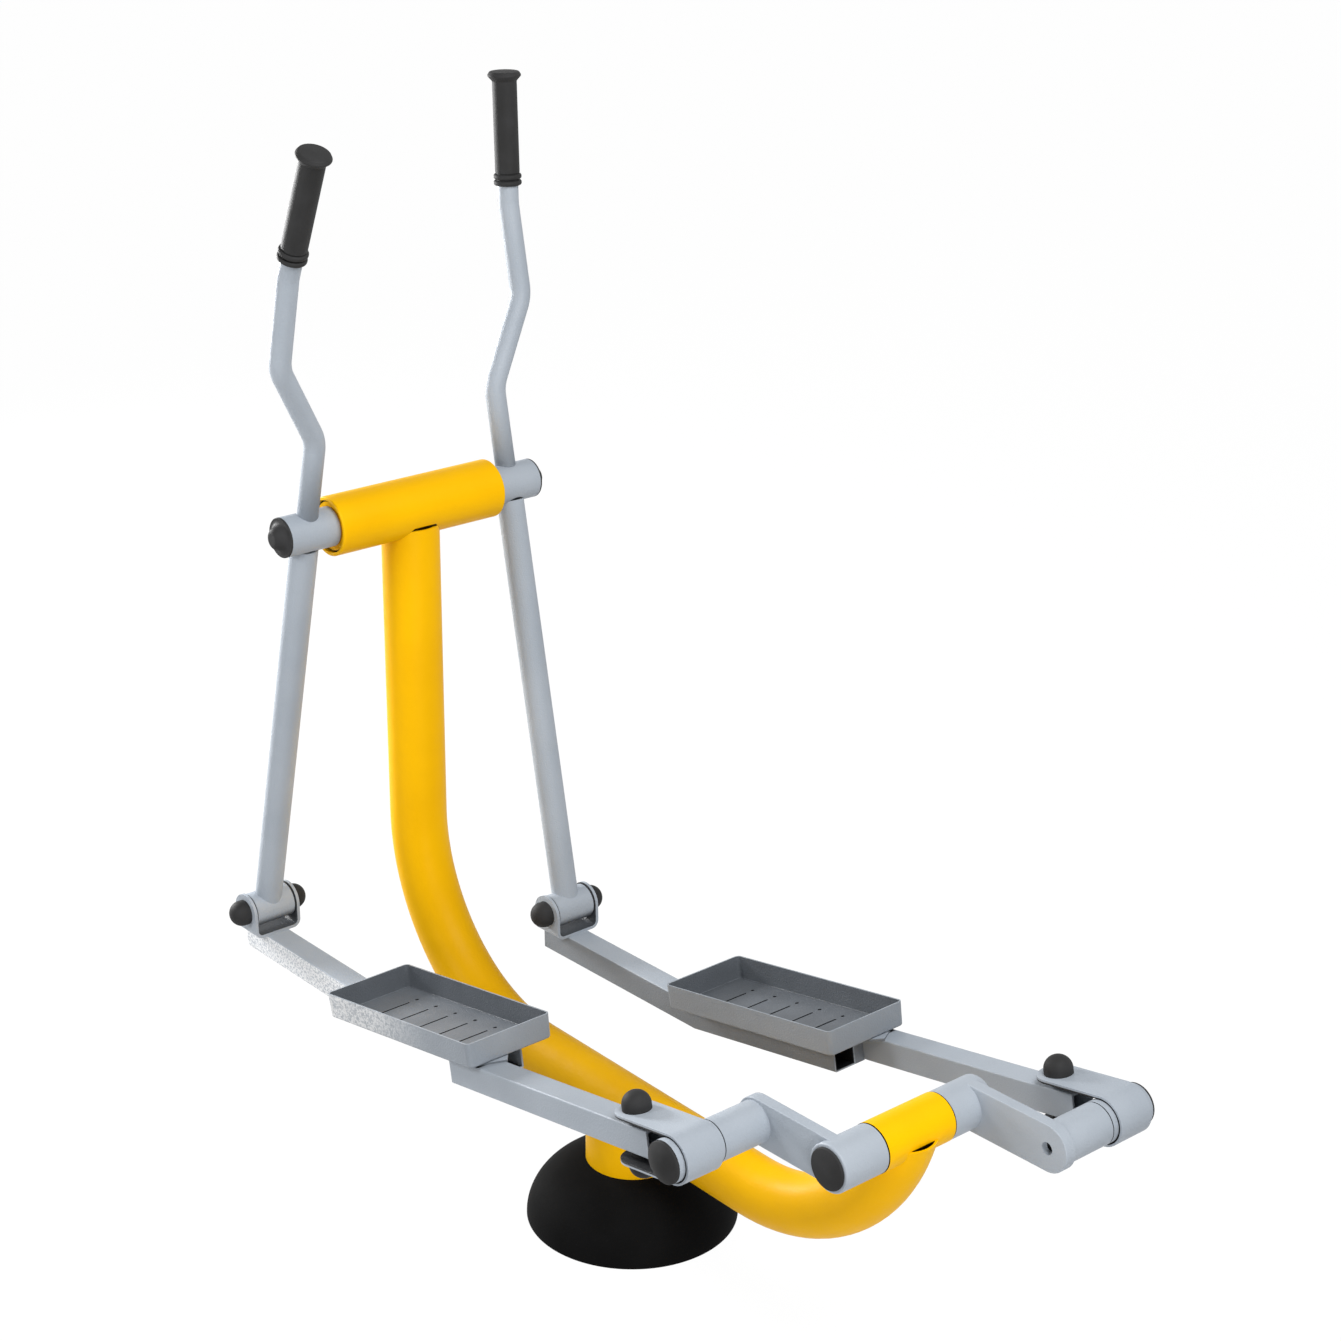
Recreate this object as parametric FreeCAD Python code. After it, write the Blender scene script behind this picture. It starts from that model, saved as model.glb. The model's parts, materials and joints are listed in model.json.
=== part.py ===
import FreeCAD, Part
import math
import os

# Outdoor cross trainer: a bent tube frame on an anchored foot, two swinging arms with handles,
# two foot bars with pedal trays, and a two-throw crank that carries the rear of the foot bars.
# Millimetres and degrees. The origin is on the ground, on the foot post's axis.
# +X is forward, the way the user faces, +Y is the user's left and +Z is up.

Vector = FreeCAD.Vector
ORIGIN = Vector(0, 0, 0)
X_AXIS = Vector(1, 0, 0)
Y_AXIS = Vector(0, 1, 0)
Z_AXIS = Vector(0, 0, 1)

# Fits
running_clearance = 0.05
cover_clearance = 0.3
side_clearance = 0.3
open_pivot_gap = 0.4
collar_gap = 1.5
same_place = 0.000001

# Main bent tube
tube_radius = 44.45
tube_wall = 4.0
column_x = 530.0
run_z = 172.5
bend_radius = 300.0
column_setback = 25.0
tail_setback = 4.5

# Foot: anchored flange, ribs, post and domed cover
flange_radius = 140.0
flange_thickness = 12.0
anchor_circle = 220.0
anchor_hole_radius = 9.0
anchor_count = 4
rib_thickness = 8.0
rib_reach = 52.0
rib_height = 48.0
rib_toe = 12.0
post_radius = 69.85
post_wall = 5.0
post_lid = 6.0
cover_radius = 158.5
cover_height = 95.0
cover_wall = 3.0

# Top bearing
top_axis_z = 973.0
housing_radius = 45.0
housing_wall = 5.0
housing_half = 147.3
housing_rim = 2.0
disc_thickness = 12.0
disc_recess = 5.0
disc_groove_width = 2.5
disc_groove_depth = 3.0
axle_radius = 15.0
axle_thread_radius = 12.0

# Arms
hub_radius = 30.15
hub_wall = 4.5
arm_stand_off = 38.4
hub_overhang = 41.3
bush_flange = 1.7
bush_length = 22.0
arm_length = 691.0
lower_arm_radius = 21.2
lower_arm_wall = 3.2
lower_arm_setback = 25.5
sleeve_radius = 27.0
sleeve_wall = 8.0
sleeve_length = 68.0
hub_cap_rise = 17.5
hub_cap_brim = 3.0
hub_cap_brim_rounding = 1.2
hub_cap_crown = 13.5
hub_cap_crown_rounding = 9.0
hub_cap_foot = 21.0
hub_cap_flare = 9.0
cap_wall = 1.6
nut_height = 13.0
nut_flats = 36.0
washer_thickness = 3.0
washer_radius = 21.0

# Handles, measured up the arm from the top axis
handle_radius = 16.0
handle_wall = 2.6
handle_bend_radius = 60.0
handle_lower_bend = 152.0
handle_upper_bend = 279.6
handle_offset = 73.3
handle_grip_bend = 420.6
handle_grip_tilt = 9.8
handle_grip_run = 197.0
grip_length = 168.0
grip_radius = 18.8
grip_flange_radius = 26.2
grip_flange_height = 15.0
grip_flange_edge = 7.0
grip_flange_fillet = 3.0
grip_flange_rounding = 3.0
grip_top_radius = 22.5
grip_top_rounding = 3.0
grip_crown = 1.0
grip_ring_count = 2
grip_ring_radius = 21.4
grip_ring = 8.0
grip_ring_gap = 1.5
grip_bead_share = 0.85
grip_barrel_rounding = 0.8
grip_lid = 4.0

# Foot bars, in the pedal frame: origin on the crank pin, x forward along the rear bar
pivot_reach = 1093.3
pivot_rise = 116.5
bar_size = 40.0
bar_wall = 3.0
bar_corner = 2.5
bar_gap = 18.3
front_pitch = 10.1
front_overhang = 34.0
front_bar_inset = 18.3
rear_bar_inset = 75.3
rear_bar_end = 58.0
plate_thickness = 3.0
plate_setback = 16.0
plate_tip_reach = 12.7
plate_rear_inset = 12.3
tray_overhang = 15.0
tray_inboard = 9.4
tray_length = 363.0
tray_width = 148.0
tray_depth = 37.5
tray_wall = 2.5
tray_corner = 8.0
tray_draft = 1.0
tray_rounding = 3.5
slot_count = 5
slot_width = 3.5
slot_length = 58.0
slot_pitch = 50.0
slot_shift = 18.0
drain_radius = 3.0
drain_inset = 14.0

# Clevis at the lower end of each arm
clevis_wall = 5.0
clevis_ear_radius = 29.0
clevis_floor_drop = 39.0
clevis_corner = 13.0
clevis_washer = 2.2
bolt_radius = 10.0
bolt_head_flats = 30.0
bolt_head_height = 12.0
bolt_cap_radius = 20.3
bolt_cap_skirt = 7.0
bolt_cap_rise = 19.5

# Strap, sleeve and journal at the crank end of each foot bar
strap_width = 60.0
strap_wall = 5.5
strap_relief = 2.0
strap_relief_depth = 6.0
strap_bolt_reach = 97.4
pin_sleeve_radius = 30.0
pin_sleeve_wall = 7.5
pin_sleeve_proud = 8.6
pin_sleeve_outer_proud = 9.0
spacer_radius = 13.5
journal_radius = 12.5
journal_head_radius = 18.0
journal_head = 5.0
pin_bush_length = 20.0
pin_cap_radius = 29.7
pin_cap_rim = 3.5
pin_cap_rise = 8.0
pin_cap_plug = 8.0
lid_rounding = 2.0

# Crank
crank_x = -554.5
crank_z = 393.5
crank_throw = 150.0
crank_angle = -1.5
crank_housing_radius = 35.0
crank_housing_half = 60.4
crank_shaft_radius = 15.0
bearing_radius = 27.5
bearing_width = 13.0
bearing_recess = 2.0
crank_hub_radius = 34.5
crank_hub_length = 74.7
crank_hub_rim = 3.0
crank_hub_gap = 1.8
crank_plate_thickness = 18.0
crank_plate_setback = 10.0
crank_plate_half = 34.0
crank_plate_rounding = 1.5
crank_spigot_radius = 9.0
crank_spigot_length = 8.0
crank_cap_radius = 29.5
crank_cap_rim = 3.5
crank_cap_rise = 3.0

# Places that follow from the sizes above
disc_face = housing_half - disc_recess
arm_y = housing_half + arm_stand_off
hub_inner = disc_face + side_clearance + bush_flange
hub_outer = arm_y + hub_overhang
hub_bore = hub_radius - hub_wall
sleeve_bore = sleeve_radius - sleeve_wall
washer_outer = hub_outer - hub_cap_brim - nut_height
clevis_gap_half = sleeve_length / 2 + clevis_washer + side_clearance
clevis_half = clevis_gap_half + clevis_wall
half_bar = bar_size / 2
rear_bar_y = arm_y + bar_size + bar_gap
deck_z = half_bar + plate_thickness
front_slope = math.radians(front_pitch)
front_under_x = pivot_reach + (clevis_floor_drop + half_bar) * math.sin(front_slope)
front_under_z = pivot_rise - (clevis_floor_drop + half_bar) * math.cos(front_slope)
front_bend_x = front_under_x - front_under_z / math.tan(front_slope)
tray_rear = front_bend_x + tray_overhang - tray_length
front_bar_end = tray_rear + front_bar_inset
rear_bar_start = tray_rear + rear_bar_inset
plate_front = front_bend_x - plate_setback
plate_tip = tray_rear - plate_tip_reach
plate_rear = tray_rear + plate_rear_inset
tray_y = (arm_y + rear_bar_y) / 2 - tray_inboard
strap_inner = rear_bar_y - strap_width / 2
strap_outer = rear_bar_y + strap_width / 2
strap_radius = pin_sleeve_radius + strap_wall
pin_sleeve_inner = strap_inner - pin_sleeve_proud
pin_sleeve_outer = strap_outer + pin_sleeve_outer_proud
pin_sleeve_bore = pin_sleeve_radius - pin_sleeve_wall
crank_hub_inner = crank_housing_half + crank_hub_gap
crank_hub_outer = crank_hub_inner + crank_hub_length
crank_plate_outer = crank_hub_outer - crank_plate_setback
crank_plate_inner = crank_plate_outer - crank_plate_thickness
collar_outer = pin_sleeve_inner - collar_gap
pin_root_outer = pin_sleeve_inner - open_pivot_gap
bar_length = math.hypot(pivot_reach, pivot_rise)
bar_slant = math.degrees(math.atan2(pivot_rise, pivot_reach))
bolt_cap_bore = bolt_cap_radius - cap_wall


def cylinder_y(radius, y_from, y_to, x=0.0, z=0.0):
    """A round bar along Y."""
    return Part.makeCylinder(radius, y_to - y_from, Vector(x, y_from, z), Y_AXIS)


def ring_y(outer, inner, y_from, y_to, x=0.0, z=0.0):
    """A round tube or washer along Y."""
    return cylinder_y(outer, y_from, y_to, x, z).cut(cylinder_y(inner, y_from, y_to, x, z))


def box_between(low, high):
    """A box from its low corner to its high corner."""
    size = high - low
    return Part.makeBox(size.x, size.y, size.z, low)


def corner_arc(before, corner, after, radius):
    """Start, middle and end of the arc that rounds one corner of a line of points."""
    back = (before - corner).normalize()
    ahead = (after - corner).normalize()
    half = back.getAngle(ahead) / 2
    inward = (back + ahead).normalize()
    reach = radius / math.tan(half)
    depth = radius / math.sin(half) - radius
    return [corner + back * reach, corner + inward * depth, corner + ahead * reach]


def turned(profile):
    """A solid of revolution about Z from (radius, height, rounding) corners of a closed profile."""
    corners = [Vector(radius, 0, height) for radius, height, rounding in profile]
    following = corners[1:] + corners[:1]
    stops = []
    for index, (radius, height, rounding) in enumerate(profile):
        if rounding:
            stops.append(corner_arc(corners[index - 1], corners[index], following[index], rounding))
        else:
            stops.append([corners[index]])
    edges = [Part.Arc(*stop).toShape() for stop in stops if len(stop) > 1]
    for stop, next_stop in zip(stops, stops[1:] + stops[:1]):
        edges.append(Part.LineSegment(stop[-1], next_stop[0]).toShape())
    outline = Part.Wire(Part.sortEdges(edges)[0])
    return Part.Face(outline).revolve(ORIGIN, Z_AXIS, 360)


def turn_to_y(solid):
    """Lays a solid that stands along +Z down along +Y."""
    return solid.rotate(ORIGIN, X_AXIS, -90)


def hexagon_bar(flats, height):
    """A hexagon bar standing on the XY plane, as in a nut or bolt head."""
    side_turn = math.pi / 3
    corner = flats / 2 / math.cos(side_turn / 2)
    turns = [side_turn * step for step in range(7)]
    points = [Vector(corner * math.cos(turn), corner * math.sin(turn), 0) for turn in turns]
    return Part.Face(Part.makePolygon(points)).extrude(Vector(0, 0, height))


def bent_path(points, radius):
    """Straight runs through the points, joined by tangent arcs of one radius."""
    edges = []
    start = points[0]
    for before, corner, after in zip(points, points[1:], points[2:]):
        arc = corner_arc(before, corner, after, radius)
        edges.append(Part.LineSegment(start, arc[0]).toShape())
        edges.append(Part.Arc(*arc).toShape())
        start = arc[-1]
    edges.append(Part.LineSegment(start, points[-1]).toShape())
    return Part.Wire(edges)


def round_bar_along(path, radius):
    """A round bar swept along a path, square to its first run."""
    first = path.Edges[0]
    start = first.valueAt(first.FirstParameter)
    ahead = first.tangentAt(first.FirstParameter)
    section = Part.Wire(Part.makeCircle(radius, start, ahead))
    return path.makePipeShell([section], True, False)


def rounded_rectangle(length, width, corner, height):
    """A rectangle wire with round corners, centred on Z at a height."""
    low = Vector(-length / 2, -width / 2, height)
    prism = Part.makePlane(length, width, low).extrude(Z_AXIS)
    rounded = prism.makeFillet(corner, edges_along(prism, Z_AXIS))
    bottom = min(rounded.Faces, key=lambda face: face.CenterOfMass.z)
    return bottom.OuterWire


def edges_along(solid, direction):
    """The straight edges of a solid that run along a direction."""
    found = []
    for edge in solid.Edges:
        run = edge.Vertexes[-1].Point - edge.Vertexes[0].Point
        if run.Length > same_place and run.cross(direction).Length < same_place:
            found.append(edge)
    return found


def edges_at_height(solid, height):
    """The edges of a solid whose ends and middle lie at one height."""
    found = []
    for edge in solid.Edges:
        heights = [vertex.Z for vertex in edge.Vertexes] + [edge.CenterOfMass.z]
        if all(abs(place - height) < same_place for place in heights):
            found.append(edge)
    return found


def bent_strip(points, half):
    """A side face in the XZ plane: a band of even height along a line of points."""
    upper = [Vector(x, 0, z) for x, z in side_line(points, half)]
    lower = [Vector(x, 0, z) for x, z in side_line(points, -half)]
    outline = upper + lower[::-1]
    return Part.Face(Part.makePolygon(outline + [outline[0]]))


def side_line(points, shift):
    """The line of points moved sideways by a shift, mitred at its corners."""
    runs = list(zip(points, points[1:]))
    angles = [math.atan2(after[1] - before[1], after[0] - before[0]) for before, after in runs]
    moved = []
    for index, (x, z) in enumerate(points):
        behind = angles[max(index - 1, 0)]
        ahead = angles[min(index, len(angles) - 1)]
        middle = (behind + ahead) / 2
        stretch = shift / math.cos((ahead - behind) / 2)
        moved.append((x - stretch * math.sin(middle), z + stretch * math.cos(middle)))
    return moved


def main_tube():
    """Column, bend, low run and tail as one bent tube, coped to both housings and level at the tail."""
    rear_height = run_z + bend_radius - crank_z
    rear_centre = crank_x + math.sqrt(bend_radius ** 2 - rear_height ** 2)
    tail_turn = math.acos(rear_height / bend_radius) + tube_radius / bend_radius
    column_top = Vector(column_x, 0, top_axis_z - column_setback)
    column_foot = Vector(column_x, 0, run_z + bend_radius)
    run_front = Vector(column_x - bend_radius, 0, run_z)
    run_rear = Vector(rear_centre, 0, run_z)
    path = Part.Wire([
        Part.LineSegment(column_top, column_foot).toShape(),
        tube_bend(run_front.x, math.pi / 2, 0),
        Part.LineSegment(run_front, run_rear).toShape(),
        tube_bend(rear_centre, 0, -tail_turn),
    ])
    tube = round_bar_along(path, tube_radius).cut(round_bar_along(path, tube_radius - tube_wall))
    top_cope = cylinder_y(housing_radius, -housing_half, housing_half, column_x, top_axis_z)
    crank_cope = cylinder_y(crank_housing_radius, -crank_housing_half, crank_housing_half, crank_x, crank_z)
    tail_end = Vector(crank_x, 0, crank_z - tail_setback)
    low_corner = tail_end - Vector(2, 2, 0) * tube_radius
    high_corner = tail_end + Vector(2, 2, 2) * tube_radius
    above_tail = box_between(low_corner, high_corner)
    return tube.cut(top_cope).cut(crank_cope).cut(above_tail)


def tube_bend(centre_x, turn_from, turn_to):
    """A bend of the main tube, from one turn to another, counted forward from its lowest point."""
    centre = Vector(centre_x, 0, run_z + bend_radius)
    turns = [turn_from, (turn_from + turn_to) / 2, turn_to]
    points = [centre + bend_radius * Vector(math.sin(turn), 0, -math.cos(turn)) for turn in turns]
    return Part.Arc(*points).toShape()


def base_flange():
    """Round anchor plate with a circle of bolt holes."""
    plate = Part.makeCylinder(flange_radius, flange_thickness)
    for index in range(anchor_count):
        turn = 2 * math.pi * index / anchor_count
        centre = Vector(math.cos(turn), math.sin(turn), 0) * (anchor_circle / 2)
        plate = plate.cut(Part.makeCylinder(anchor_hole_radius, flange_thickness, centre))
    return plate


def flange_ribs():
    """Upright ribs between the post and the flange, midway between the anchor holes."""
    side = [
        Vector(post_radius, 0, flange_thickness),
        Vector(post_radius + rib_reach, 0, flange_thickness),
        Vector(post_radius + rib_reach, 0, flange_thickness + rib_toe),
        Vector(post_radius, 0, flange_thickness + rib_height),
    ]
    blank = Part.Face(Part.makePolygon(side + [side[0]])).extrude(Vector(0, rib_thickness, 0))
    blank.translate(Vector(0, -rib_thickness / 2, 0))
    post_core = Part.makeCylinder(post_radius, flange_thickness + rib_height)
    ribs = []
    for index in range(anchor_count):
        rib = blank.cut(post_core).Solids[0]
        ribs.append(rib.rotate(ORIGIN, Z_AXIS, (index + 0.5) * 360 / anchor_count))
    return Part.makeCompound(ribs)


def foot_post():
    """Post tube with a lid, notched round the low run of the main tube."""
    height = run_z - flange_thickness
    base = Vector(0, 0, flange_thickness)
    tube = Part.makeCylinder(post_radius, height, base)
    tube = tube.cut(Part.makeCylinder(post_radius - post_wall, height - post_lid, base))
    notch = Part.makeCylinder(tube_radius, 2 * post_radius, Vector(-post_radius, 0, run_z), X_AXIS)
    return tube.cut(notch)


def base_cover():
    """Domed plastic cover: half an ellipsoid that closes on the post."""
    opening = post_radius + cover_clearance
    crown = cover_height / math.sqrt(1 - (opening / cover_radius) ** 2)
    outside = squashed_ball(cover_radius, crown)
    shell = outside.cut(squashed_ball(cover_radius - cover_wall, crown - cover_wall))
    above_ground = Part.makeCylinder(2 * cover_radius, crown)
    return shell.common(above_ground).cut(Part.makeCylinder(opening, crown))


def squashed_ball(radius, rise):
    """A ball pressed flat along Z until it rises a set height above its centre."""
    squash = FreeCAD.Matrix()
    squash.scale(Vector(1, 1, rise / radius))
    return Part.makeSphere(radius).transformGeometry(squash)


def top_housing():
    """Cross tube that carries the axle of both arms, with eased outer rims."""
    bore = housing_radius - housing_wall
    tube = turned([
        (bore, -housing_half, 0), (housing_radius, -housing_half, housing_rim),
        (housing_radius, housing_half, housing_rim), (bore, housing_half, 0),
    ])
    return turn_to_y(tube).translate(Vector(column_x, 0, top_axis_z))


def axle_discs():
    """End discs that hold the axle in the cross tube, each with a turned groove near its rim."""
    rim = housing_radius - housing_wall
    disc = ring_y(rim, axle_radius, disc_face - disc_thickness, disc_face, column_x, top_axis_z)
    groove = ring_y(rim, rim - disc_groove_width, disc_face - disc_groove_depth, disc_face,
                    column_x, top_axis_z)
    left_disc = disc.cut(groove)
    return Part.makeCompound([left_disc, mirrored(left_disc)])


def top_axle():
    """Through axle, turned down at both ends for the nuts."""
    shoulder = washer_outer - washer_thickness
    end = washer_outer + nut_height
    axle = cylinder_y(axle_radius, -shoulder, shoulder, column_x, top_axis_z)
    return axle.fuse(cylinder_y(axle_thread_radius, -end, end, column_x, top_axis_z)).removeSplitter()


def axle_fasteners():
    """A washer and a nut on each end of the top axle."""
    washer = ring_y(washer_radius, axle_thread_radius, washer_outer - washer_thickness, washer_outer,
                    column_x, top_axis_z)
    nut = turn_to_y(hexagon_bar(nut_flats, nut_height))
    nut.translate(Vector(column_x, washer_outer, top_axis_z))
    nut = nut.cut(cylinder_y(axle_thread_radius, washer_outer, washer_outer + nut_height,
                             column_x, top_axis_z))
    return Part.makeCompound([washer, nut, mirrored(washer), mirrored(nut)])


def crank_housing():
    """Short cross tube for the crank, bored for two bearings."""
    tube = ring_y(crank_housing_radius, crank_shaft_radius + bearing_recess, -crank_housing_half,
                  crank_housing_half, crank_x, crank_z)
    seat_depth = bearing_width + bearing_recess
    for side in (-1, 1):
        ends = sorted([side * crank_housing_half, side * (crank_housing_half - seat_depth)])
        tube = tube.cut(cylinder_y(bearing_radius, ends[0], ends[1], crank_x, crank_z))
    return tube


def crank_bearings():
    """Two bearings, set back in the ends of the crank housing."""
    outer_face = crank_housing_half - bearing_recess
    bearing = ring_y(bearing_radius, crank_shaft_radius + running_clearance, outer_face - bearing_width,
                     outer_face, crank_x, crank_z)
    return Part.makeCompound([bearing, mirrored(bearing)])


def mirrored(solid):
    """The same solid on the other side of the machine's middle plane."""
    return solid.mirror(ORIGIN, Y_AXIS)


def pin_point(angle):
    """Where a crank pin stands in the XZ plane."""
    turn = math.radians(angle)
    return crank_x + crank_throw * math.cos(turn), crank_z + crank_throw * math.sin(turn)


def arm_pivot(pin):
    """Where the lower end of an arm stands when its foot bar sits on a crank pin."""
    away_x = column_x - pin[0]
    away_z = top_axis_z - pin[1]
    span = math.hypot(away_x, away_z)
    along = (bar_length ** 2 - arm_length ** 2 + span ** 2) / (2 * span)
    aside = math.sqrt(bar_length ** 2 - along ** 2)
    unit_x = away_x / span
    unit_z = away_z / span
    return pin[0] + along * unit_x + aside * unit_z, pin[1] + along * unit_z - aside * unit_x


def arm_swing(angle):
    """Forward swing of an arm from hanging straight down, for a crank pin's angle."""
    pivot = arm_pivot(pin_point(angle))
    return math.degrees(math.atan2(pivot[0] - column_x, top_axis_z - pivot[1]))


def pedal_pitch(angle):
    """Slope of a pedal frame's x axis, for a crank pin's angle."""
    pin = pin_point(angle)
    pivot = arm_pivot(pin)
    return math.degrees(math.atan2(pivot[1] - pin[1], pivot[0] - pin[0])) - bar_slant


def crank_shaft():
    """Shaft through the crank housing and both crank hubs."""
    return cylinder_y(crank_shaft_radius, -crank_hub_outer, crank_hub_outer, crank_x, crank_z)


def crank_pair(make_one):
    """Two copies of a crank piece, half a turn apart on opposite sides."""
    left = make_one(*pin_point(crank_angle))
    right = mirrored(make_one(*pin_point(crank_angle + 180)))
    return Part.makeCompound([left, right])


def crank_hub(pin_x, pin_z):
    """Thick round hub on the end of the crank shaft, with a round outer rim."""
    hub = turned([
        (crank_shaft_radius, 0, 0), (crank_hub_radius, 0, 0),
        (crank_hub_radius, crank_hub_length, crank_hub_rim), (crank_shaft_radius, crank_hub_length, 0),
    ])
    return turn_to_y(hub).translate(Vector(crank_x, crank_hub_inner, crank_z))


def crank_plate(pin_x, pin_z):
    """Flat bar with eased edges, coped to the hub and round at the pin."""
    pin_end = Part.makeCylinder(crank_plate_half, crank_plate_thickness, Vector(crank_throw, 0, 0))
    web = box_between(Vector(0, -crank_plate_half, 0),
                      Vector(crank_throw, crank_plate_half, crank_plate_thickness))
    plate = web.fuse(pin_end).removeSplitter()
    rims = edges_at_height(plate, 0) + edges_at_height(plate, crank_plate_thickness)
    plate = turn_to_y(plate.makeFillet(crank_plate_rounding, rims))
    tilt = math.degrees(math.atan2(pin_z - crank_z, pin_x - crank_x))
    plate.rotate(ORIGIN, Y_AXIS, -tilt)
    plate.translate(Vector(crank_x, crank_plate_inner, crank_z))
    plate = plate.cut(cylinder_y(crank_hub_radius, crank_plate_inner, crank_plate_outer, crank_x, crank_z))
    return plate.cut(cylinder_y(crank_spigot_radius, crank_plate_inner, crank_plate_outer, pin_x, pin_z))


def crank_collar(pin_x, pin_z):
    """Round collar that stands off the plate and ends just short of the foot bar's sleeve."""
    return ring_y(pin_sleeve_radius, journal_radius, crank_plate_outer, collar_outer, pin_x, pin_z)


def crank_pin_root(pin_x, pin_z):
    """The crank's half of the pin: a bar through the collar with a spigot in the plate."""
    root = cylinder_y(journal_radius, crank_plate_outer, pin_root_outer, pin_x, pin_z)
    spigot = cylinder_y(crank_spigot_radius, crank_plate_outer - crank_spigot_length, crank_plate_outer,
                        pin_x, pin_z)
    return root.fuse(spigot)


def crank_cap(pin_x, pin_z):
    """Shallow black end cap on a crank hub."""
    cap = turn_to_y(shallow_cap(crank_cap_radius, crank_cap_rim, crank_cap_rise))
    return cap.translate(Vector(crank_x, crank_hub_outer, crank_z))


def shallow_cap(radius, rim, rise):
    """A round lid with a straight rim and a low crowned face, standing on the XY plane."""
    sphere = (radius ** 2 + rise ** 2) / (2 * rise)
    crown = Part.makeSphere(sphere, Vector(0, 0, rim + rise - sphere))
    lid = Part.makeCylinder(radius, rim + rise).common(crown)
    return lid.makeFillet(lid_rounding, edges_at_height(lid, rim))


def arm_hub():
    """Round hub of an arm, on the top axle."""
    return ring_y(hub_radius, hub_bore, hub_inner, hub_outer, column_x, top_axis_z)


def arm_bushes():
    """Flanged bushes in the hub and plain bushes in the lower sleeve."""
    bore = axle_radius + running_clearance
    inner = ring_y(hub_bore, bore, hub_inner, hub_inner + bush_length, column_x, top_axis_z)
    flange = ring_y(hub_radius, bore, hub_inner - bush_flange, hub_inner, column_x, top_axis_z)
    outer_end = washer_outer - washer_thickness - side_clearance
    outer = ring_y(hub_bore, bore, outer_end - bush_length, outer_end, column_x, top_axis_z)
    lower_z = top_axis_z - arm_length
    bushes = [inner.fuse(flange).removeSplitter(), outer]
    for end in (arm_y - sleeve_length / 2, arm_y + sleeve_length / 2 - bush_length):
        bushes.append(ring_y(sleeve_bore, bolt_radius + running_clearance, end, end + bush_length,
                             column_x, lower_z))
    return Part.makeCompound(bushes)


def hub_cap():
    """Bell-shaped black cap: a flat brim, a hollow flare and a round crown, plugged into the hub."""
    outer = [
        (0, hub_cap_rise, 0), (hub_cap_crown, hub_cap_rise, hub_cap_crown_rounding),
        (hub_cap_foot, hub_cap_brim, hub_cap_flare),
        (hub_radius, hub_cap_brim, hub_cap_brim_rounding), (hub_radius, 0, 0),
    ]
    plug = hub_bore - cap_wall
    inside = hub_cap_crown - cap_wall
    inner = [
        (hub_bore, 0, 0), (hub_bore, -hub_cap_brim, 0), (plug, -hub_cap_brim, 0),
        (plug, hub_cap_brim - cap_wall, 0), (inside, hub_cap_brim - cap_wall, 0),
        (inside, hub_cap_rise - cap_wall, hub_cap_crown_rounding - cap_wall), (0, hub_cap_rise - cap_wall, 0),
    ]
    cap = turn_to_y(turned(outer + inner))
    return cap.translate(Vector(column_x, hub_outer, top_axis_z))


def lower_arm():
    """Round tube from the hub down to the lower sleeve, cut flat at the top and coped to both."""
    foot = Vector(column_x, arm_y, top_axis_z - arm_length)
    length = arm_length - lower_arm_setback
    tube = Part.makeCylinder(lower_arm_radius, length, foot)
    tube = tube.cut(Part.makeCylinder(lower_arm_radius - lower_arm_wall, length, foot))
    tube = tube.cut(cylinder_y(hub_radius, hub_inner, hub_outer, column_x, top_axis_z))
    return tube.cut(cylinder_y(sleeve_radius, arm_y - sleeve_length / 2, arm_y + sleeve_length / 2,
                               column_x, top_axis_z - arm_length))


def lower_sleeve():
    """Bearing sleeve at the lower end of an arm."""
    return ring_y(sleeve_radius, sleeve_bore, arm_y - sleeve_length / 2, arm_y + sleeve_length / 2,
                  column_x, top_axis_z - arm_length)


def handle_points():
    """Corners of the handle's line, from the top axis to the top of the grip."""
    tilt = math.radians(handle_grip_tilt)
    base = Vector(column_x, arm_y, top_axis_z)
    outboard = base + Vector(0, handle_offset, 0)
    elbow = outboard + Vector(0, 0, handle_grip_bend)
    return [
        base,
        base + Vector(0, 0, handle_lower_bend),
        outboard + Vector(0, 0, handle_upper_bend),
        elbow,
        elbow + handle_grip_run * Vector(-math.sin(tilt), 0, math.cos(tilt)),
    ]


def handle_tube():
    """Bent handle tube, coped to the arm hub."""
    path = bent_path(handle_points(), handle_bend_radius)
    tube = round_bar_along(path, handle_radius).cut(round_bar_along(path, handle_radius - handle_wall))
    return tube.cut(cylinder_y(hub_radius, hub_inner, hub_outer, column_x, top_axis_z))


def hand_grip():
    """Rubber grip: bead rings below, a plain barrel and a mushroom flange on top."""
    top = grip_length + grip_lid
    groove = (handle_radius + grip_radius) / 2
    bead = grip_bead_share * min(grip_ring_radius - groove, grip_ring / 2)
    profile = [(handle_radius, 0, 0)]
    barrel_z = 0.0
    for index in range(grip_ring_count):
        ring_top = barrel_z + grip_ring
        profile += [(grip_ring_radius, barrel_z, bead), (grip_ring_radius, ring_top, bead)]
        barrel_z = ring_top + grip_ring_gap
        profile += [(groove, ring_top, 0), (groove, barrel_z, 0)]
    profile += [
        (grip_radius, barrel_z, grip_barrel_rounding),
        (grip_radius, top - grip_flange_height, grip_flange_fillet),
        (grip_flange_radius, top - grip_flange_edge, grip_flange_rounding),
        (grip_top_radius, top - grip_crown, grip_top_rounding), (0, top, 0),
        (0, grip_length, 0), (handle_radius, grip_length, 0),
    ]
    grip = turned(profile).rotate(ORIGIN, Y_AXIS, -handle_grip_tilt)
    tip = handle_points()[-1]
    tilt = math.radians(handle_grip_tilt)
    return grip.translate(tip - grip_length * Vector(-math.sin(tilt), 0, math.cos(tilt)))


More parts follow.
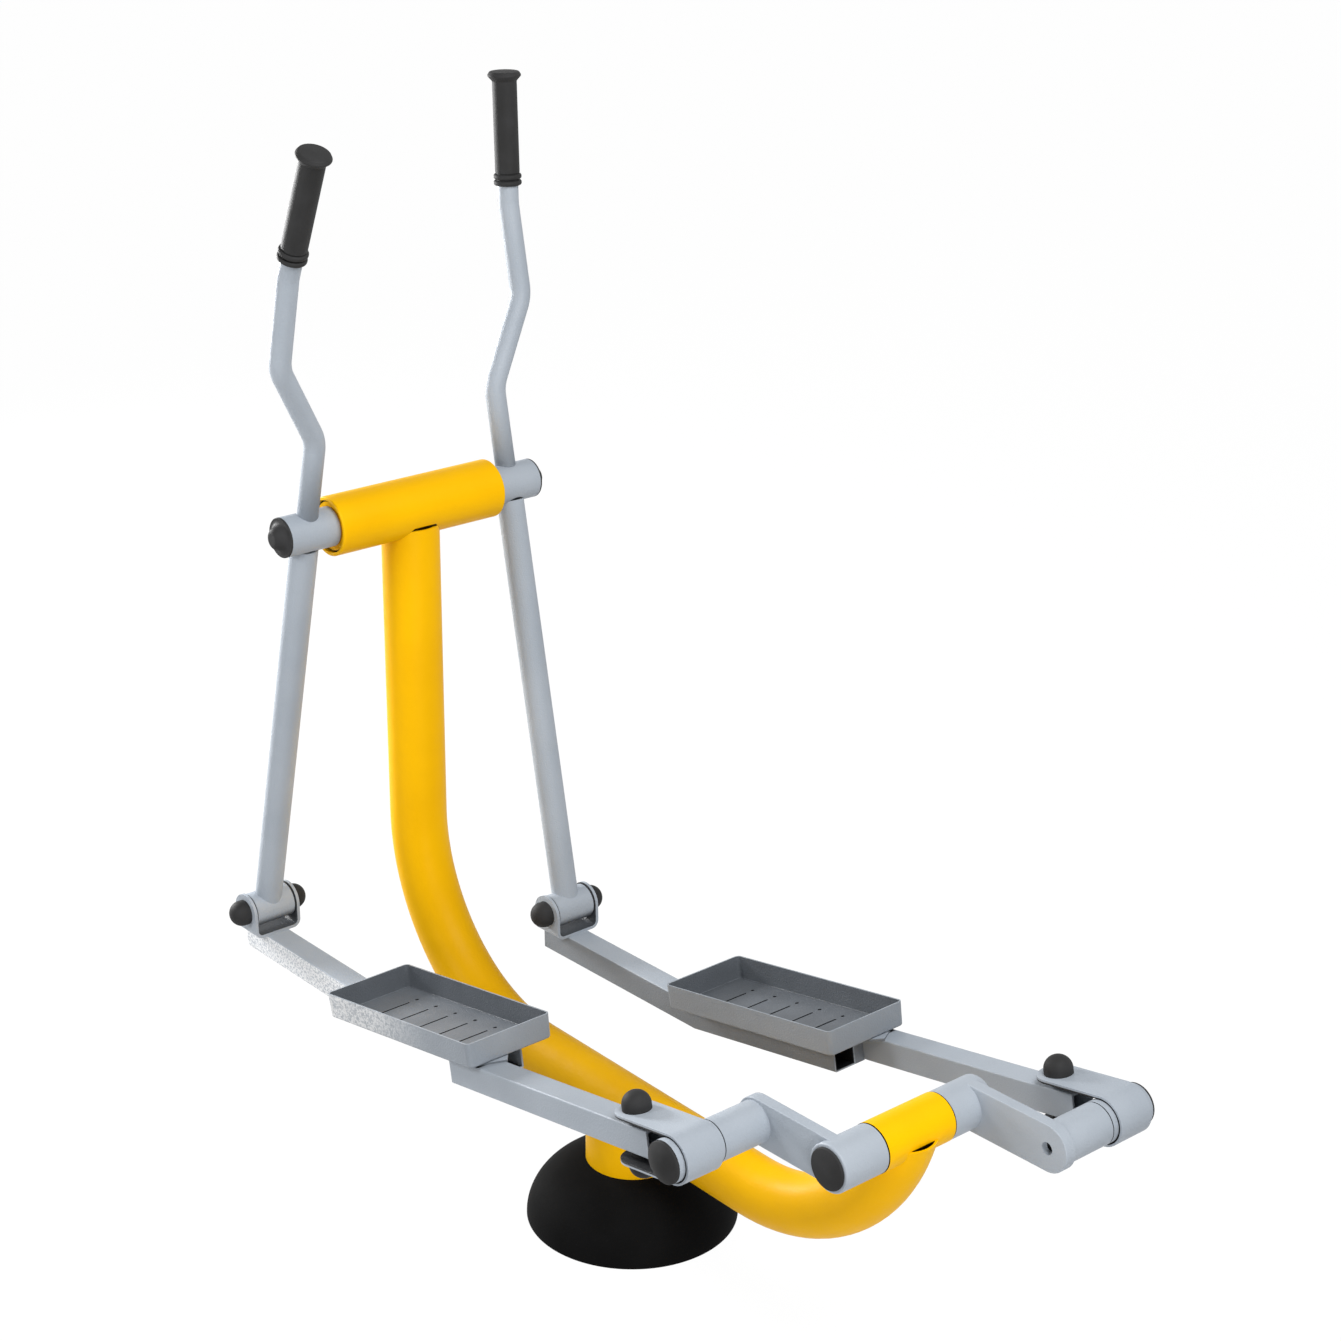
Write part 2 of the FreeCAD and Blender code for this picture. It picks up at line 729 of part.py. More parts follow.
def front_line():
    """Centre line of a front bar in the pedal frame: front end, bend and rear end."""
    nose_x = front_under_x + front_overhang * math.cos(front_slope)
    nose_z = front_under_z + front_overhang * math.sin(front_slope)
    return [(front_bar_end, 0.0), (front_bend_x, 0.0), (nose_x, nose_z)]


def front_bar():
    """Square tube with one bend, closed at its nose and open under the pedal."""
    rear, bend, nose = front_line()
    nose_run = Vector(math.cos(front_slope), 0, math.sin(front_slope))
    inner_nose = (nose[0] - bar_wall * nose_run.x, nose[1] - bar_wall * nose_run.z)
    outer = bent_strip([rear, bend, nose], half_bar).extrude(Vector(0, bar_size, 0))
    long_edges = edges_along(outer, X_AXIS) + edges_along(outer, nose_run)
    outer = outer.makeFillet(bar_corner, long_edges)
    bore_width = bar_size - 2 * bar_wall
    inner = bent_strip([rear, bend, inner_nose], half_bar - bar_wall).extrude(Vector(0, bore_width, 0))
    inner.translate(Vector(0, bar_wall, 0))
    return outer.cut(inner).translate(Vector(0, arm_y - half_bar, 0))


def rear_bar():
    """Straight square tube beside the front bar, bored across for the strap bolt."""
    low = Vector(rear_bar_end, rear_bar_y - half_bar, -half_bar)
    high = Vector(rear_bar_start, rear_bar_y + half_bar, half_bar)
    wall = Vector(0, bar_wall, bar_wall)
    block = box_between(low, high)
    tube = block.makeFillet(bar_corner, edges_along(block, X_AXIS)).cut(box_between(low + wall, high - wall))
    return tube.cut(strap_bolt_hole(half_bar))


def strap_bolt_hole(half_height):
    """The upright hole for the strap bolt."""
    base = Vector(strap_bolt_reach, rear_bar_y, -half_height)
    return Part.makeCylinder(bolt_radius + running_clearance, 2 * half_height, base)


def pedal_plate():
    """Bent plate on top of both bars, with a lip that closes the space between them."""
    inner_y = arm_y - half_bar
    between_y = arm_y + half_bar
    rear_inner_y = rear_bar_y - half_bar
    outer_y = rear_bar_y + half_bar
    outline = [
        Vector(plate_front, inner_y, half_bar), Vector(plate_front, outer_y, half_bar),
        Vector(plate_rear, outer_y, half_bar), Vector(plate_tip, rear_inner_y, half_bar),
        Vector(front_bar_end, arm_y, half_bar), Vector(front_bar_end, inner_y, half_bar),
    ]
    plate = Part.Face(Part.makePolygon(outline + [outline[0]])).extrude(Vector(0, 0, plate_thickness))
    lip = box_between(Vector(front_bar_end, between_y, -half_bar),
                      Vector(front_bar_end + plate_thickness, rear_inner_y, half_bar))
    return plate.fuse(lip).removeSplitter()


def tray_shell(inset, floor):
    """A tapered block with round corners: the tray's outside, or its inside when inset."""
    length = tray_length - 2 * inset
    width = tray_width - 2 * inset
    draft = 2 * tray_draft * (tray_depth - floor) / tray_depth
    bottom = rounded_rectangle(length - draft, width - draft, tray_corner - inset, floor)
    top = rounded_rectangle(length, width, tray_corner - inset, tray_depth)
    block = Part.makeLoft([bottom, top], True, True)
    return block.makeFillet(tray_rounding - inset, edges_at_height(block, floor))


def pedal_tray():
    """Foot tray with drafted walls and cross slots, each with a drain hole beyond both its ends."""
    tray = tray_shell(0.0, 0.0).cut(tray_shell(tray_wall, tray_wall))
    drain_y = slot_length / 2 + drain_inset
    for index in range(slot_count):
        x = (index - (slot_count - 1) / 2) * slot_pitch + slot_shift
        low = Vector(x - slot_width / 2, -slot_length / 2, 0)
        tray = tray.cut(Part.makeBox(slot_width, slot_length, tray_wall, low))
        for side in (-1, 1):
            tray = tray.cut(Part.makeCylinder(drain_radius, tray_wall, Vector(x, side * drain_y, 0)))
    return tray.translate(Vector(tray_rear + tray_length / 2, tray_y, deck_z))


def at_clevis(solid):
    """Moves a solid from the clevis frame, level with the front run, to the pedal frame."""
    solid.rotate(ORIGIN, Y_AXIS, -front_pitch)
    return solid.translate(Vector(pivot_reach, 0, pivot_rise))


def clevis():
    """Bent plate clevis: a U with round lower corners and round-topped ears."""
    ear = clevis_ear_radius
    floor = -clevis_floor_drop
    outer = box_between(Vector(-ear, arm_y - clevis_half, floor), Vector(ear, arm_y + clevis_half, ear))
    inner = box_between(Vector(-ear, arm_y - clevis_gap_half, floor + clevis_wall),
                        Vector(ear, arm_y + clevis_gap_half, ear))
    outer = rounded_below(outer, floor, clevis_corner)
    inner = rounded_below(inner, floor + clevis_wall, clevis_corner - clevis_wall)
    side = box_between(Vector(-ear, arm_y - clevis_half, floor), Vector(ear, arm_y + clevis_half, 0))
    side = side.fuse(cylinder_y(ear, arm_y - clevis_half, arm_y + clevis_half))
    plate = outer.cut(inner).common(side).removeSplitter()
    bolt_hole = cylinder_y(bolt_radius + running_clearance, arm_y - clevis_half, arm_y + clevis_half)
    return at_clevis(plate.cut(bolt_hole))


def rounded_below(block, floor, radius):
    """Rounds the two long lower edges of a block that run along X."""
    edges = [edge for edge in edges_along(block, X_AXIS) if abs(edge.CenterOfMass.z - floor) < same_place]
    return block.makeFillet(radius, edges)


def hexagon_bolt(grip):
    """A hexagon bolt along +Z whose head sits under the XY plane."""
    shank = Part.makeCylinder(bolt_radius, grip + bolt_head_height)
    head = hexagon_bar(bolt_head_flats, bolt_head_height).translate(Vector(0, 0, -bolt_head_height))
    return shank.fuse(head)


def hexagon_nut():
    """A nut standing on the XY plane."""
    return hexagon_bar(bolt_head_flats, bolt_head_height).cut(
        Part.makeCylinder(bolt_radius, bolt_head_height))


def dome_cap():
    """Hollow dome cap over a bolt head or nut, standing on the XY plane."""
    return dome(bolt_cap_radius, bolt_cap_rise).cut(dome(bolt_cap_bore, bolt_cap_rise - cap_wall))


def dome(radius, rise):
    """A short skirt with half an ellipsoid on top."""
    crown = squashed_ball(radius, rise).translate(Vector(0, 0, bolt_cap_skirt))
    above = Part.makeCylinder(2 * radius, bolt_cap_skirt + rise)
    return Part.makeCylinder(radius, bolt_cap_skirt).fuse(crown.common(above)).removeSplitter()


def at_clevis_ear(solid, inward):
    """Moves a solid that stands along +Z to the inner or outer ear of the clevis, pointing away."""
    if inward:
        solid.rotate(ORIGIN, X_AXIS, 90)
        return at_clevis(solid.translate(Vector(0, arm_y - clevis_half, 0)))
    return at_clevis(turn_to_y(solid).translate(Vector(0, arm_y + clevis_half, 0)))


def at_strap_tongue(solid, below):
    """Moves a solid that stands along +Z to the upper or lower tongue of the strap, pointing away."""
    if below:
        solid.rotate(ORIGIN, X_AXIS, 180)
        return solid.translate(Vector(strap_bolt_reach, rear_bar_y, -strap_radius))
    return solid.translate(Vector(strap_bolt_reach, rear_bar_y, strap_radius))


def foot_bolts():
    """The clevis bolt, headed on the inside, and the strap bolt, headed below."""
    clevis_bolt = turn_to_y(hexagon_bolt(2 * clevis_half))
    clevis_bolt = at_clevis(clevis_bolt.translate(Vector(0, arm_y - clevis_half, 0)))
    strap_bolt = hexagon_bolt(2 * strap_radius)
    strap_bolt.translate(Vector(strap_bolt_reach, rear_bar_y, -strap_radius))
    return Part.makeCompound([clevis_bolt, strap_bolt])


def foot_nuts():
    """The nuts of the clevis bolt and the strap bolt."""
    return Part.makeCompound([at_clevis_ear(hexagon_nut(), False), at_strap_tongue(hexagon_nut(), False)])


def bolt_caps():
    """Dome caps over both ends of the clevis bolt and of the strap bolt."""
    caps = [at_clevis_ear(dome_cap(), inward) for inward in (False, True)]
    caps += [at_strap_tongue(dome_cap(), below) for below in (False, True)]
    return Part.makeCompound(caps)


def foot_washers():
    """Thin washers beside the lower sleeve and spacers above and below the rear bar."""
    pieces = []
    for end in (arm_y - clevis_gap_half, arm_y + clevis_gap_half - clevis_washer):
        washer = ring_y(sleeve_radius, bolt_radius + running_clearance, end, end + clevis_washer)
        pieces.append(at_clevis(washer))
    height = pin_sleeve_radius - half_bar
    for base in (half_bar, -pin_sleeve_radius):
        spacer = Part.makeCylinder(spacer_radius, height, Vector(strap_bolt_reach, rear_bar_y, base))
        pieces.append(spacer.cut(strap_bolt_hole(pin_sleeve_radius)))
    return Part.makeCompound(pieces)


def pin_strap():
    """Bent strap round the sleeve, relieved at both edges: two parallel tongues, drilled for the bolt."""
    reach = strap_bolt_reach + strap_width / 2
    outside = strap_block(strap_radius, reach)
    inside = strap_block(pin_sleeve_radius, reach)
    base = Vector(-strap_radius, strap_inner, -strap_radius)
    plan = box_between(base, Vector(strap_bolt_reach, strap_outer, strap_radius))
    plan = plan.fuse(Part.makeCylinder(strap_width / 2, 2 * strap_radius,
                                       Vector(strap_bolt_reach, rear_bar_y, -strap_radius)))
    strap = outside.cut(inside).common(plan).removeSplitter()
    relief = pin_sleeve_radius + strap_relief
    strap = strap.cut(cylinder_y(relief, strap_inner, strap_inner + strap_relief_depth))
    strap = strap.cut(cylinder_y(relief, strap_outer - strap_relief_depth, strap_outer))
    return strap.cut(strap_bolt_hole(strap_radius))


def strap_block(radius, reach):
    """A block with a half-round rear end, as high as two radii."""
    front = box_between(Vector(0, strap_inner, -radius), Vector(reach, strap_outer, radius))
    return front.fuse(cylinder_y(radius, strap_inner, strap_outer)).removeSplitter()


def pin_sleeve():
    """Bearing sleeve at the rear of a foot bar."""
    return ring_y(pin_sleeve_radius, pin_sleeve_bore, pin_sleeve_inner, pin_sleeve_outer)


def pin_journal():
    """The foot bar's half of the crank pin, with a head that keeps the bushes in."""
    head_inner = pin_sleeve_outer - pin_cap_plug - journal_head
    shank = cylinder_y(journal_radius, pin_sleeve_inner, head_inner + journal_head)
    return shank.fuse(cylinder_y(journal_head_radius, head_inner, head_inner + journal_head)).removeSplitter()


def pin_bushes():
    """Two bushes in the sleeve, one at its mouth and one against the journal's head."""
    outer_end = pin_sleeve_outer - pin_cap_plug - journal_head - side_clearance
    bore = journal_radius + running_clearance
    bushes = []
    for start in (pin_sleeve_inner, outer_end - pin_bush_length):
        bushes.append(ring_y(pin_sleeve_bore, bore, start, start + pin_bush_length))
    return Part.makeCompound(bushes)


def pin_cap():
    """Crowned black cap that plugs the outer end of the sleeve."""
    lid = shallow_cap(pin_cap_radius, pin_cap_rim, pin_cap_rise)
    plug = Part.makeCylinder(pin_sleeve_bore, pin_cap_plug - side_clearance)
    plug = plug.cut(Part.makeCylinder(pin_sleeve_bore - cap_wall, pin_cap_plug))
    plug.translate(Vector(0, 0, side_clearance - pin_cap_plug))
    return turn_to_y(lid.fuse(plug)).translate(Vector(0, pin_sleeve_outer, 0))


FRAME_PIECES = {
    "base_flange": base_flange, "flange_ribs": flange_ribs, "foot_post": foot_post, "base_cover": base_cover,
    "main_tube": main_tube, "top_housing": top_housing, "axle_discs": axle_discs, "top_axle": top_axle,
    "axle_fasteners": axle_fasteners, "crank_housing": crank_housing, "crank_bearings": crank_bearings,
    "crank_shaft": crank_shaft,
}
CRANK_PAIRS = {
    "crank_hubs": crank_hub, "crank_plates": crank_plate, "crank_collars": crank_collar,
    "crank_pin_roots": crank_pin_root, "crank_caps": crank_cap,
}
ARM_PIECES = {
    "arm_hub": arm_hub, "arm_bushes": arm_bushes, "hub_cap": hub_cap, "handle_tube": handle_tube,
    "hand_grip": hand_grip, "lower_arm": lower_arm, "lower_sleeve": lower_sleeve,
}
FOOT_PIECES = {
    "clevis": clevis, "foot_bolts": foot_bolts, "foot_nuts": foot_nuts, "bolt_caps": bolt_caps,
    "foot_washers": foot_washers, "front_bar": front_bar, "rear_bar": rear_bar, "pedal_plate": pedal_plate,
    "pedal_tray": pedal_tray, "pin_strap": pin_strap, "pin_sleeve": pin_sleeve, "pin_journal": pin_journal,
    "pin_bushes": pin_bushes, "pin_cap": pin_cap,
}
SIDES = {"left": crank_angle, "right": crank_angle + 180}


def on_side(solid, side):
    """The solid as drawn for the left side, or mirrored for the right."""
    return mirrored(solid) if side == "right" else solid


def swung_arm_piece(make_one, side):
    """An arm piece turned about the top axis to the arm's swing at rest."""
    solid = on_side(make_one(), side)
    return solid.rotate(Vector(column_x, 0, top_axis_z), Y_AXIS, -arm_swing(SIDES[side]))


def placed_foot_piece(make_one, side):
    """A foot bar piece moved from the pedal frame to its place at rest."""
    solid = on_side(make_one(), side)
    solid.rotate(ORIGIN, Y_AXIS, -pedal_pitch(SIDES[side]))
    pin_x, pin_z = pin_point(SIDES[side])
    return solid.translate(Vector(pin_x, 0, pin_z))


def export(node, shape):
    """Writes one node and prints its size."""
    shape.exportStep(f"parts/{node}.step")
    print(f"{node}: {len(shape.Solids)} solids, {shape.Volume / 1000:.1f} cm3, valid {shape.isValid()}")


def main():
    os.makedirs("parts", exist_ok=True)
    for node, make_one in FRAME_PIECES.items():
        export(node, make_one())
    for node, make_one in CRANK_PAIRS.items():
        export(node, crank_pair(make_one))
    for side, angle in SIDES.items():
        pin_x, pin_z = pin_point(angle)
        pivot_x, pivot_z = arm_pivot((pin_x, pin_z))
        print(f"{side}: arm swing {arm_swing(angle):.4f}, pedal pitch {pedal_pitch(angle):.4f}, "
              f"pin {pin_x:.3f} {pin_z:.3f}, pivot {pivot_x:.3f} {pivot_z:.3f}")
        for node, make_one in ARM_PIECES.items():
            export(f"{side}_{node}", swung_arm_piece(make_one, side))
        for node, make_one in FOOT_PIECES.items():
            export(f"{side}_{node}", placed_foot_piece(make_one, side))


main()
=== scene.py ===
# %% [markdown]
# # Outdoor cross trainer
# The machine stands in parks: a bent yellow tube on an anchored foot, two swinging arms, two foot bars
# with trays and a crank behind. Its solids are already built, in metres, with +X forward and +Z up. This
# lesson loads them, gives every surface its finish, remakes the pieces that gain from Blender's own tools
# and sets the camera and the light of the photograph.

# %% Load the frame
import json
import math

import bmesh
import bpy
from mathutils import Matrix, Vector


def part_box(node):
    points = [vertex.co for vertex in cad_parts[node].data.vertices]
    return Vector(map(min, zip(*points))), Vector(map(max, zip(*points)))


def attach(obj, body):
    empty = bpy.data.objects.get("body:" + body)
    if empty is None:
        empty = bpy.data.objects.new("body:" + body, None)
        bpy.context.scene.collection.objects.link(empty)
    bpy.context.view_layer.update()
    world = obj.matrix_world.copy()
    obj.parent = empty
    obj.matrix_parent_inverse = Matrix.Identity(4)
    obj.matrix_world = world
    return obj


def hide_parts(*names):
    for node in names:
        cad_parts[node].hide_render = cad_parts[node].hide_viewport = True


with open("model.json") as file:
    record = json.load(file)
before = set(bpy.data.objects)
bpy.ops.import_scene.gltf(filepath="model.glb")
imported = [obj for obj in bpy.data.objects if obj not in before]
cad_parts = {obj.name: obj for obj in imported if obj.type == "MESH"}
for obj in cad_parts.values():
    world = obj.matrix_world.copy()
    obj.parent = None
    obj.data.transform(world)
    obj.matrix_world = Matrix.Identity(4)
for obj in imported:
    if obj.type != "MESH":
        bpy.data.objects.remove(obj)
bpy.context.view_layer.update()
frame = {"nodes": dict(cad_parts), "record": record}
scene = bpy.context.scene
record = frame["record"]
joint_place = {joint["name"]: Vector(joint["pos_m"]) for joint in record["behaviour"]["joints"]}

# %% [markdown]
# ## A small language for nodes
# Finishes and shapes are both graphs of nodes. Written out call by call a graph hides its own idea, so
# three small classes help: a Value wraps one socket and turns + - * into Math nodes, a Graph adds every
# other node with one method, and a Finish is a Graph that owns a material. A finish then reads like the
# sentence that describes it.


# %% Value and Graph
class Value:
    """A number that varies over a surface: one output socket that can be used in sums."""

    def __init__(self, graph, socket):
        self.graph = graph
        self.socket = socket

    def maths(self, operation, first, second=0.0):
        return self.graph.add("ShaderNodeMath", {"operation": operation}, {0: first, 1: second})

    def __add__(self, other):
        return self.maths("ADD", self, other)

    def __radd__(self, other):
        return self.maths("ADD", other, self)

    def __sub__(self, other):
        return self.maths("SUBTRACT", self, other)

    def __rsub__(self, other):
        return self.maths("SUBTRACT", other, self)

    def __mul__(self, other):
        return self.maths("MULTIPLY", self, other)

    def __rmul__(self, other):
        return self.maths("MULTIPLY", other, self)

    def magnitude(self):
        return self.maths("ABSOLUTE", self)

    def root(self):
        return self.maths("SQRT", self)

    def sine(self):
        return self.maths("SINE", self)

    def cosine(self):
        return self.maths("COSINE", self)

    def at_least(self, floor):
        return self.maths("MAXIMUM", self, floor)

    def at_most(self, ceiling):
        return self.maths("MINIMUM", self, ceiling)

    def between(self, low, high):
        """0 at low, 1 at high and a smooth step between them."""
        return self.graph.add("ShaderNodeMapRange", {"interpolation_type": "SMOOTHSTEP"},
                              {"Value": self, "From Min": low, "From Max": high})


class Graph:
    """A tree of nodes that grows one node at a time."""

    def __init__(self, tree):
        self.tree = tree

    def add(self, kind, settings, values, output=0):
        """Adds a node: its settings first, then the values or links of its sockets."""
        node = self.tree.nodes.new(kind)
        for name, setting in settings.items():
            setattr(node, name, setting)
        for name, value in values.items():
            self.give(node.inputs[name], value)
        return Value(self, node.outputs[output])

    def give(self, socket, value):
        """Links a Value to a socket, or sets a plain number, colour or switch on it."""
        if isinstance(value, Value):
            self.tree.links.new(value.socket, socket)
        else:
            socket.default_value = value


print("graphs ready")


# %% Finish
class Finish(Graph):
    """A material whose surface is described node by node."""

    def __init__(self, name):
        self.material = bpy.data.materials.new(name)
        self.material.use_nodes = True
        super().__init__(self.material.node_tree)
        self.shader = self.tree.nodes["Principled BSDF"]
        self.place = self.add("ShaderNodeTexCoord", {}, {}, "Object")
        self.facing = self.add("ShaderNodeTexCoord", {}, {}, "Normal")

    def part_of(self, vector, axis):
        """One number out of a place or a direction."""
        return self.add("ShaderNodeSeparateXYZ", {}, {0: vector}, axis)

    def noise(self, size, detail=2.0, roughness=0.5):
        """Soft random clouds about as large as a size in metres, around 0.5."""
        return self.add("ShaderNodeTexNoise", {},
                        {"Vector": self.place, "Scale": 1 / size, "Detail": detail, "Roughness": roughness})

    def grains(self, size):
        """Distance to the middle of the nearest of many scattered grains."""
        return self.add("ShaderNodeTexVoronoi", {}, {"Vector": self.place, "Scale": 1 / size}, "Distance")

    def blend(self, share, first, second):
        """A colour between two colours."""
        return self.add("ShaderNodeMix", {"data_type": "RGBA"}, {0: share, 6: first, 7: second}, 2)

    def bump(self, height, depth):
        """A normal from a height between 0 and 1 that stands for a depth in metres."""
        return self.add("ShaderNodeBump", {}, {"Height": height, "Distance": depth})

    def set(self, **sockets):
        """Sets sockets of the surface shader, named in plain words with _ for a space."""
        for name, value in sockets.items():
            self.give(self.shader.inputs[name.replace("_", " ")], value)
        return self.material


def colour(red, green, blue):
    """An opaque colour from linear red, green and blue."""
    return (red, green, blue, 1.0)


print("finish language ready")

# %% [markdown]
# ## Yellow powder coat
# The frame is sprayed with powder and baked. The film flows, but never quite flat: it keeps a soft orange
# peel a few millimetres across, which breaks the edge between light and shade. Large clouds change the
# colour by a few hundredths, because the film is not equally thick everywhere.


# %% Yellow powder coat
thick_yellow = colour(0.9, 0.47, 0.0)
thin_yellow = colour(0.95, 0.51, 0.0)
# shaded_yellow is the painted shade of slits, bores, grooves and the low run
shaded_yellow = colour(0.012, 0.006, 0.0)
peel_size = 0.005
peel_share = 0.6
swell_size = 0.022
swell_depth = 0.0006
yellow_cloud_size = 0.16


def yellow_powder_coat(name, shade=None):
    """The yellow coat; shade says where painted shade darkens it."""
    finish = Finish(name)
    peel = finish.noise(peel_size, 3.0, 0.55)
    swell = finish.noise(swell_size, 1.0)
    cloud = finish.noise(yellow_cloud_size, 2.0)
    tone = finish.blend(cloud.between(0.3, 0.7), thick_yellow, thin_yellow)
    if shade:
        tone = finish.blend(shade(finish), tone, shaded_yellow)
    return finish.set(Base_Color=tone, Roughness=0.36 + 0.16 * peel, Specular_IOR_Level=0.08,
                      Normal=finish.bump(peel * peel_share + swell, swell_depth))


yellow = yellow_powder_coat("yellow_powder_coat")
print("made", yellow.name)

# %% [markdown]
# ## Grey metallic powder coat
# The moving pieces carry a silver-grey coat with a finer and sharper grain: light that grazes a flat face
# lights one side of each grain, and the face sparkles. On the outer side of the left front bar and tray
# the light comes in so flat that whole grains flash, so those faces also get painted highlights, light
# flecks in the colour, which fade out towards the rear and stop where the face turns up.


# %% Grey metallic powder coat
deep_grey = colour(0.345, 0.385, 0.435)
pale_grey = colour(0.38, 0.42, 0.47)
fleck_grey = colour(0.55, 0.58, 0.62)
# flash_white is a painted highlight: the flecks that flash in grazing light
flash_white = colour(0.9, 0.91, 0.92)
# dirt_and_shade_grey darkens the grey for dirt in the trays and for painted shade in gaps, bores and under
# trays
dirt_and_shade_grey = colour(0.012, 0.013, 0.015)
grey_grain_size = 0.0026
grey_grain_depth = 0.0007
fleck_size = 0.0018
spark_size = 0.0042
grey_cloud_size = 0.12


def grey_powder_coat(name, shade=None, flash=None):
    """The grey coat; shade says where dirt and painted shade darken it, flash where painted highlights
    fleck it.
    """
    finish = Finish(name)
    grain = finish.noise(grey_grain_size, 2.0, 0.6)
    fleck = finish.grains(fleck_size)
    cloud = finish.noise(grey_cloud_size, 2.0)
    tone = finish.blend(cloud.between(0.3, 0.7), deep_grey, pale_grey)
    tone = finish.blend(fleck.between(0.25, 0.0) * 0.35, tone, fleck_grey)
    if flash:
        spark = 0.3 + 0.7 * finish.noise(spark_size, 2.0, 0.75).between(0.42, 0.55)
        tone = finish.blend(spark * flash(finish), tone, flash_white)
    if shade:
        tone = finish.blend(shade(finish), tone, dirt_and_shade_grey)
    return finish.set(Base_Color=tone, Roughness=0.4 + 0.2 * grain, Specular_IOR_Level=0.35,
                      Normal=finish.bump(grain, grey_grain_depth))


flash_start_y = 0.19
flash_full_y = 0.2


def outer_flash(rear, front):
    """Painted highlights: flecks on faces that look outward, none at the rear and all of them at the front.
    """
    def flash(finish):
        outward = finish.part_of(finish.facing, "Y").between(0.8, 0.97)
        outer_half = finish.part_of(finish.place, "Y").between(flash_start_y, flash_full_y)
        forward = finish.part_of(finish.place, "X").between(rear, front)
        return outward * outer_half * forward
    return flash


grey = grey_powder_coat("grey_powder_coat")
print("made", grey.name)

# %% [markdown]
# ## Dirt and painted shade in the foot trays
# Shoes and rain leave patchy dirt in a tray. Its inner walls are darker than its outside, and painted shade
# darkens its corners. The tray slopes, so a Mapping node first turns the place into the tray's own frame.
# There the wall is a rounded rectangle that grows towards the rim, and whatever lies inside it is the inner
# side. The tops of plate and bars under the tray only show through the slots, where painted shade makes
# them and the slot walls as good as black. Outside the tray the plate's upright lip and the top of the
# left rear bar carry a lighter painted shade.

# %% Places in the trays' own frames
tray_half = Vector((0.1815, 0.074, 0.01875))
tray_corner = 0.008
tray_wall = 0.0025
tray_draft = 0.001
bar_reach = 1.0933
bar_rise = 0.1165
bar_slant = math.atan2(bar_rise, bar_reach)
sides = {"left": 1, "right": -1}
pin_place = {}
tray_slope = {}
for side in sides:
    low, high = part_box(f"{side}_pin_sleeve")
    pin_place[side] = (low + high) / 2
    rise = joint_place[f"{side}_foot_pivot"] - pin_place[side]
    tray_slope[side] = bar_slant - math.atan2(rise.z, rise.x)
print("trays slope by", {side: round(math.degrees(slope), 2) for side, slope in tray_slope.items()})


# %% Dirt and painted shade in the foot trays
def in_frame(finish, centre, slope):
    """X, Y and Z of a place, counted in a frame that slopes down towards the front."""
    local = finish.add("ShaderNodeMapping", {"vector_type": "TEXTURE"},
                       {"Vector": finish.place, "Location": centre, "Rotation": (0, slope, 0)})
    return [finish.part_of(local, axis) for axis in "XYZ"]


patch_size = 0.05
deepest_shade = 0.97


def tray_dirt_and_shade(centre, slope):
    """Patchy dirt all over a tray, darker inner walls, and painted shade in its corners and, darkest, in
    its slots.
    """
    def shade(finish):
        x, y, z = in_frame(finish, centre, slope)
        narrowing = (tray_half.z - z) * (tray_draft / (2 * tray_half.z))
        past_x = (x.magnitude() + narrowing - (tray_half.x - tray_corner)).at_least(0.0)
        past_y = (y.magnitude() + narrowing - (tray_half.y - tray_corner)).at_least(0.0)
        reach = (past_x * past_x + past_y * past_y).root()
        inside = 1 - reach.between(tray_corner - tray_wall * 0.6, tray_corner - tray_wall * 0.4)
        floor = -tray_half.z + tray_wall
        wall = finish.part_of(finish.facing, "Z").between(0.97, 0.88)
        slot = z.between(floor - tray_wall * 0.1, floor - tray_wall * 0.3)
        patches = finish.noise(patch_size, 3.0)
        corner = reach.between(0.0, tray_corner)
        # Patches are dirt; corners and slots get painted shade, and the inner walls are darker
        inner = (0.05 + 0.15 * patches + 0.1 * corner + 0.5 * wall + slot).at_most(deepest_shade)
        return inside * inner + (1 - inside) * (0.2 + 0.15 * patches)
    return shade


def looking_up(finish):
    """1 on faces that look up."""
    return finish.part_of(finish.facing, "Z").between(0.7, 0.9)


print("grime ready")

# %% Painted shade under and beside the trays
cover_fade = 0.004
# Painted shade on the plate's upright lip and on the top of the left rear bar
lip_shade = 0.55
top_shade = {"left": 0.2, "right": 0.0}
tray_flash_rear = 0.1
tray_flash_front = 0.3


def under_tray(centre, slope):
    """Painted shade on upper faces that a tray covers."""
    def shade(finish):
        x, y, _ = in_frame(finish, centre, slope)
        covered = x.magnitude().between(tray_half.x, tray_half.x - cover_fade)
        covered = covered * y.magnitude().between(tray_half.y, tray_half.y - cover_fade)
        return covered * looking_up(finish) * deepest_shade
    return shade


def plate_shade(cover):
    """The plate under the tray: painted shade where covered and on its upright lip."""
    def shade(finish):
        upright = finish.part_of(finish.facing, "Z").magnitude().between(0.7, 0.4)
        return cover(finish).at_least(lip_shade * upright)
    return shade


def shaded_top(cover, top_darkness):
    """A rear bar: painted shade where the tray covers it and along its top."""
    def shade(finish):
        return cover(finish).at_least(top_darkness * looking_up(finish))
    return shade


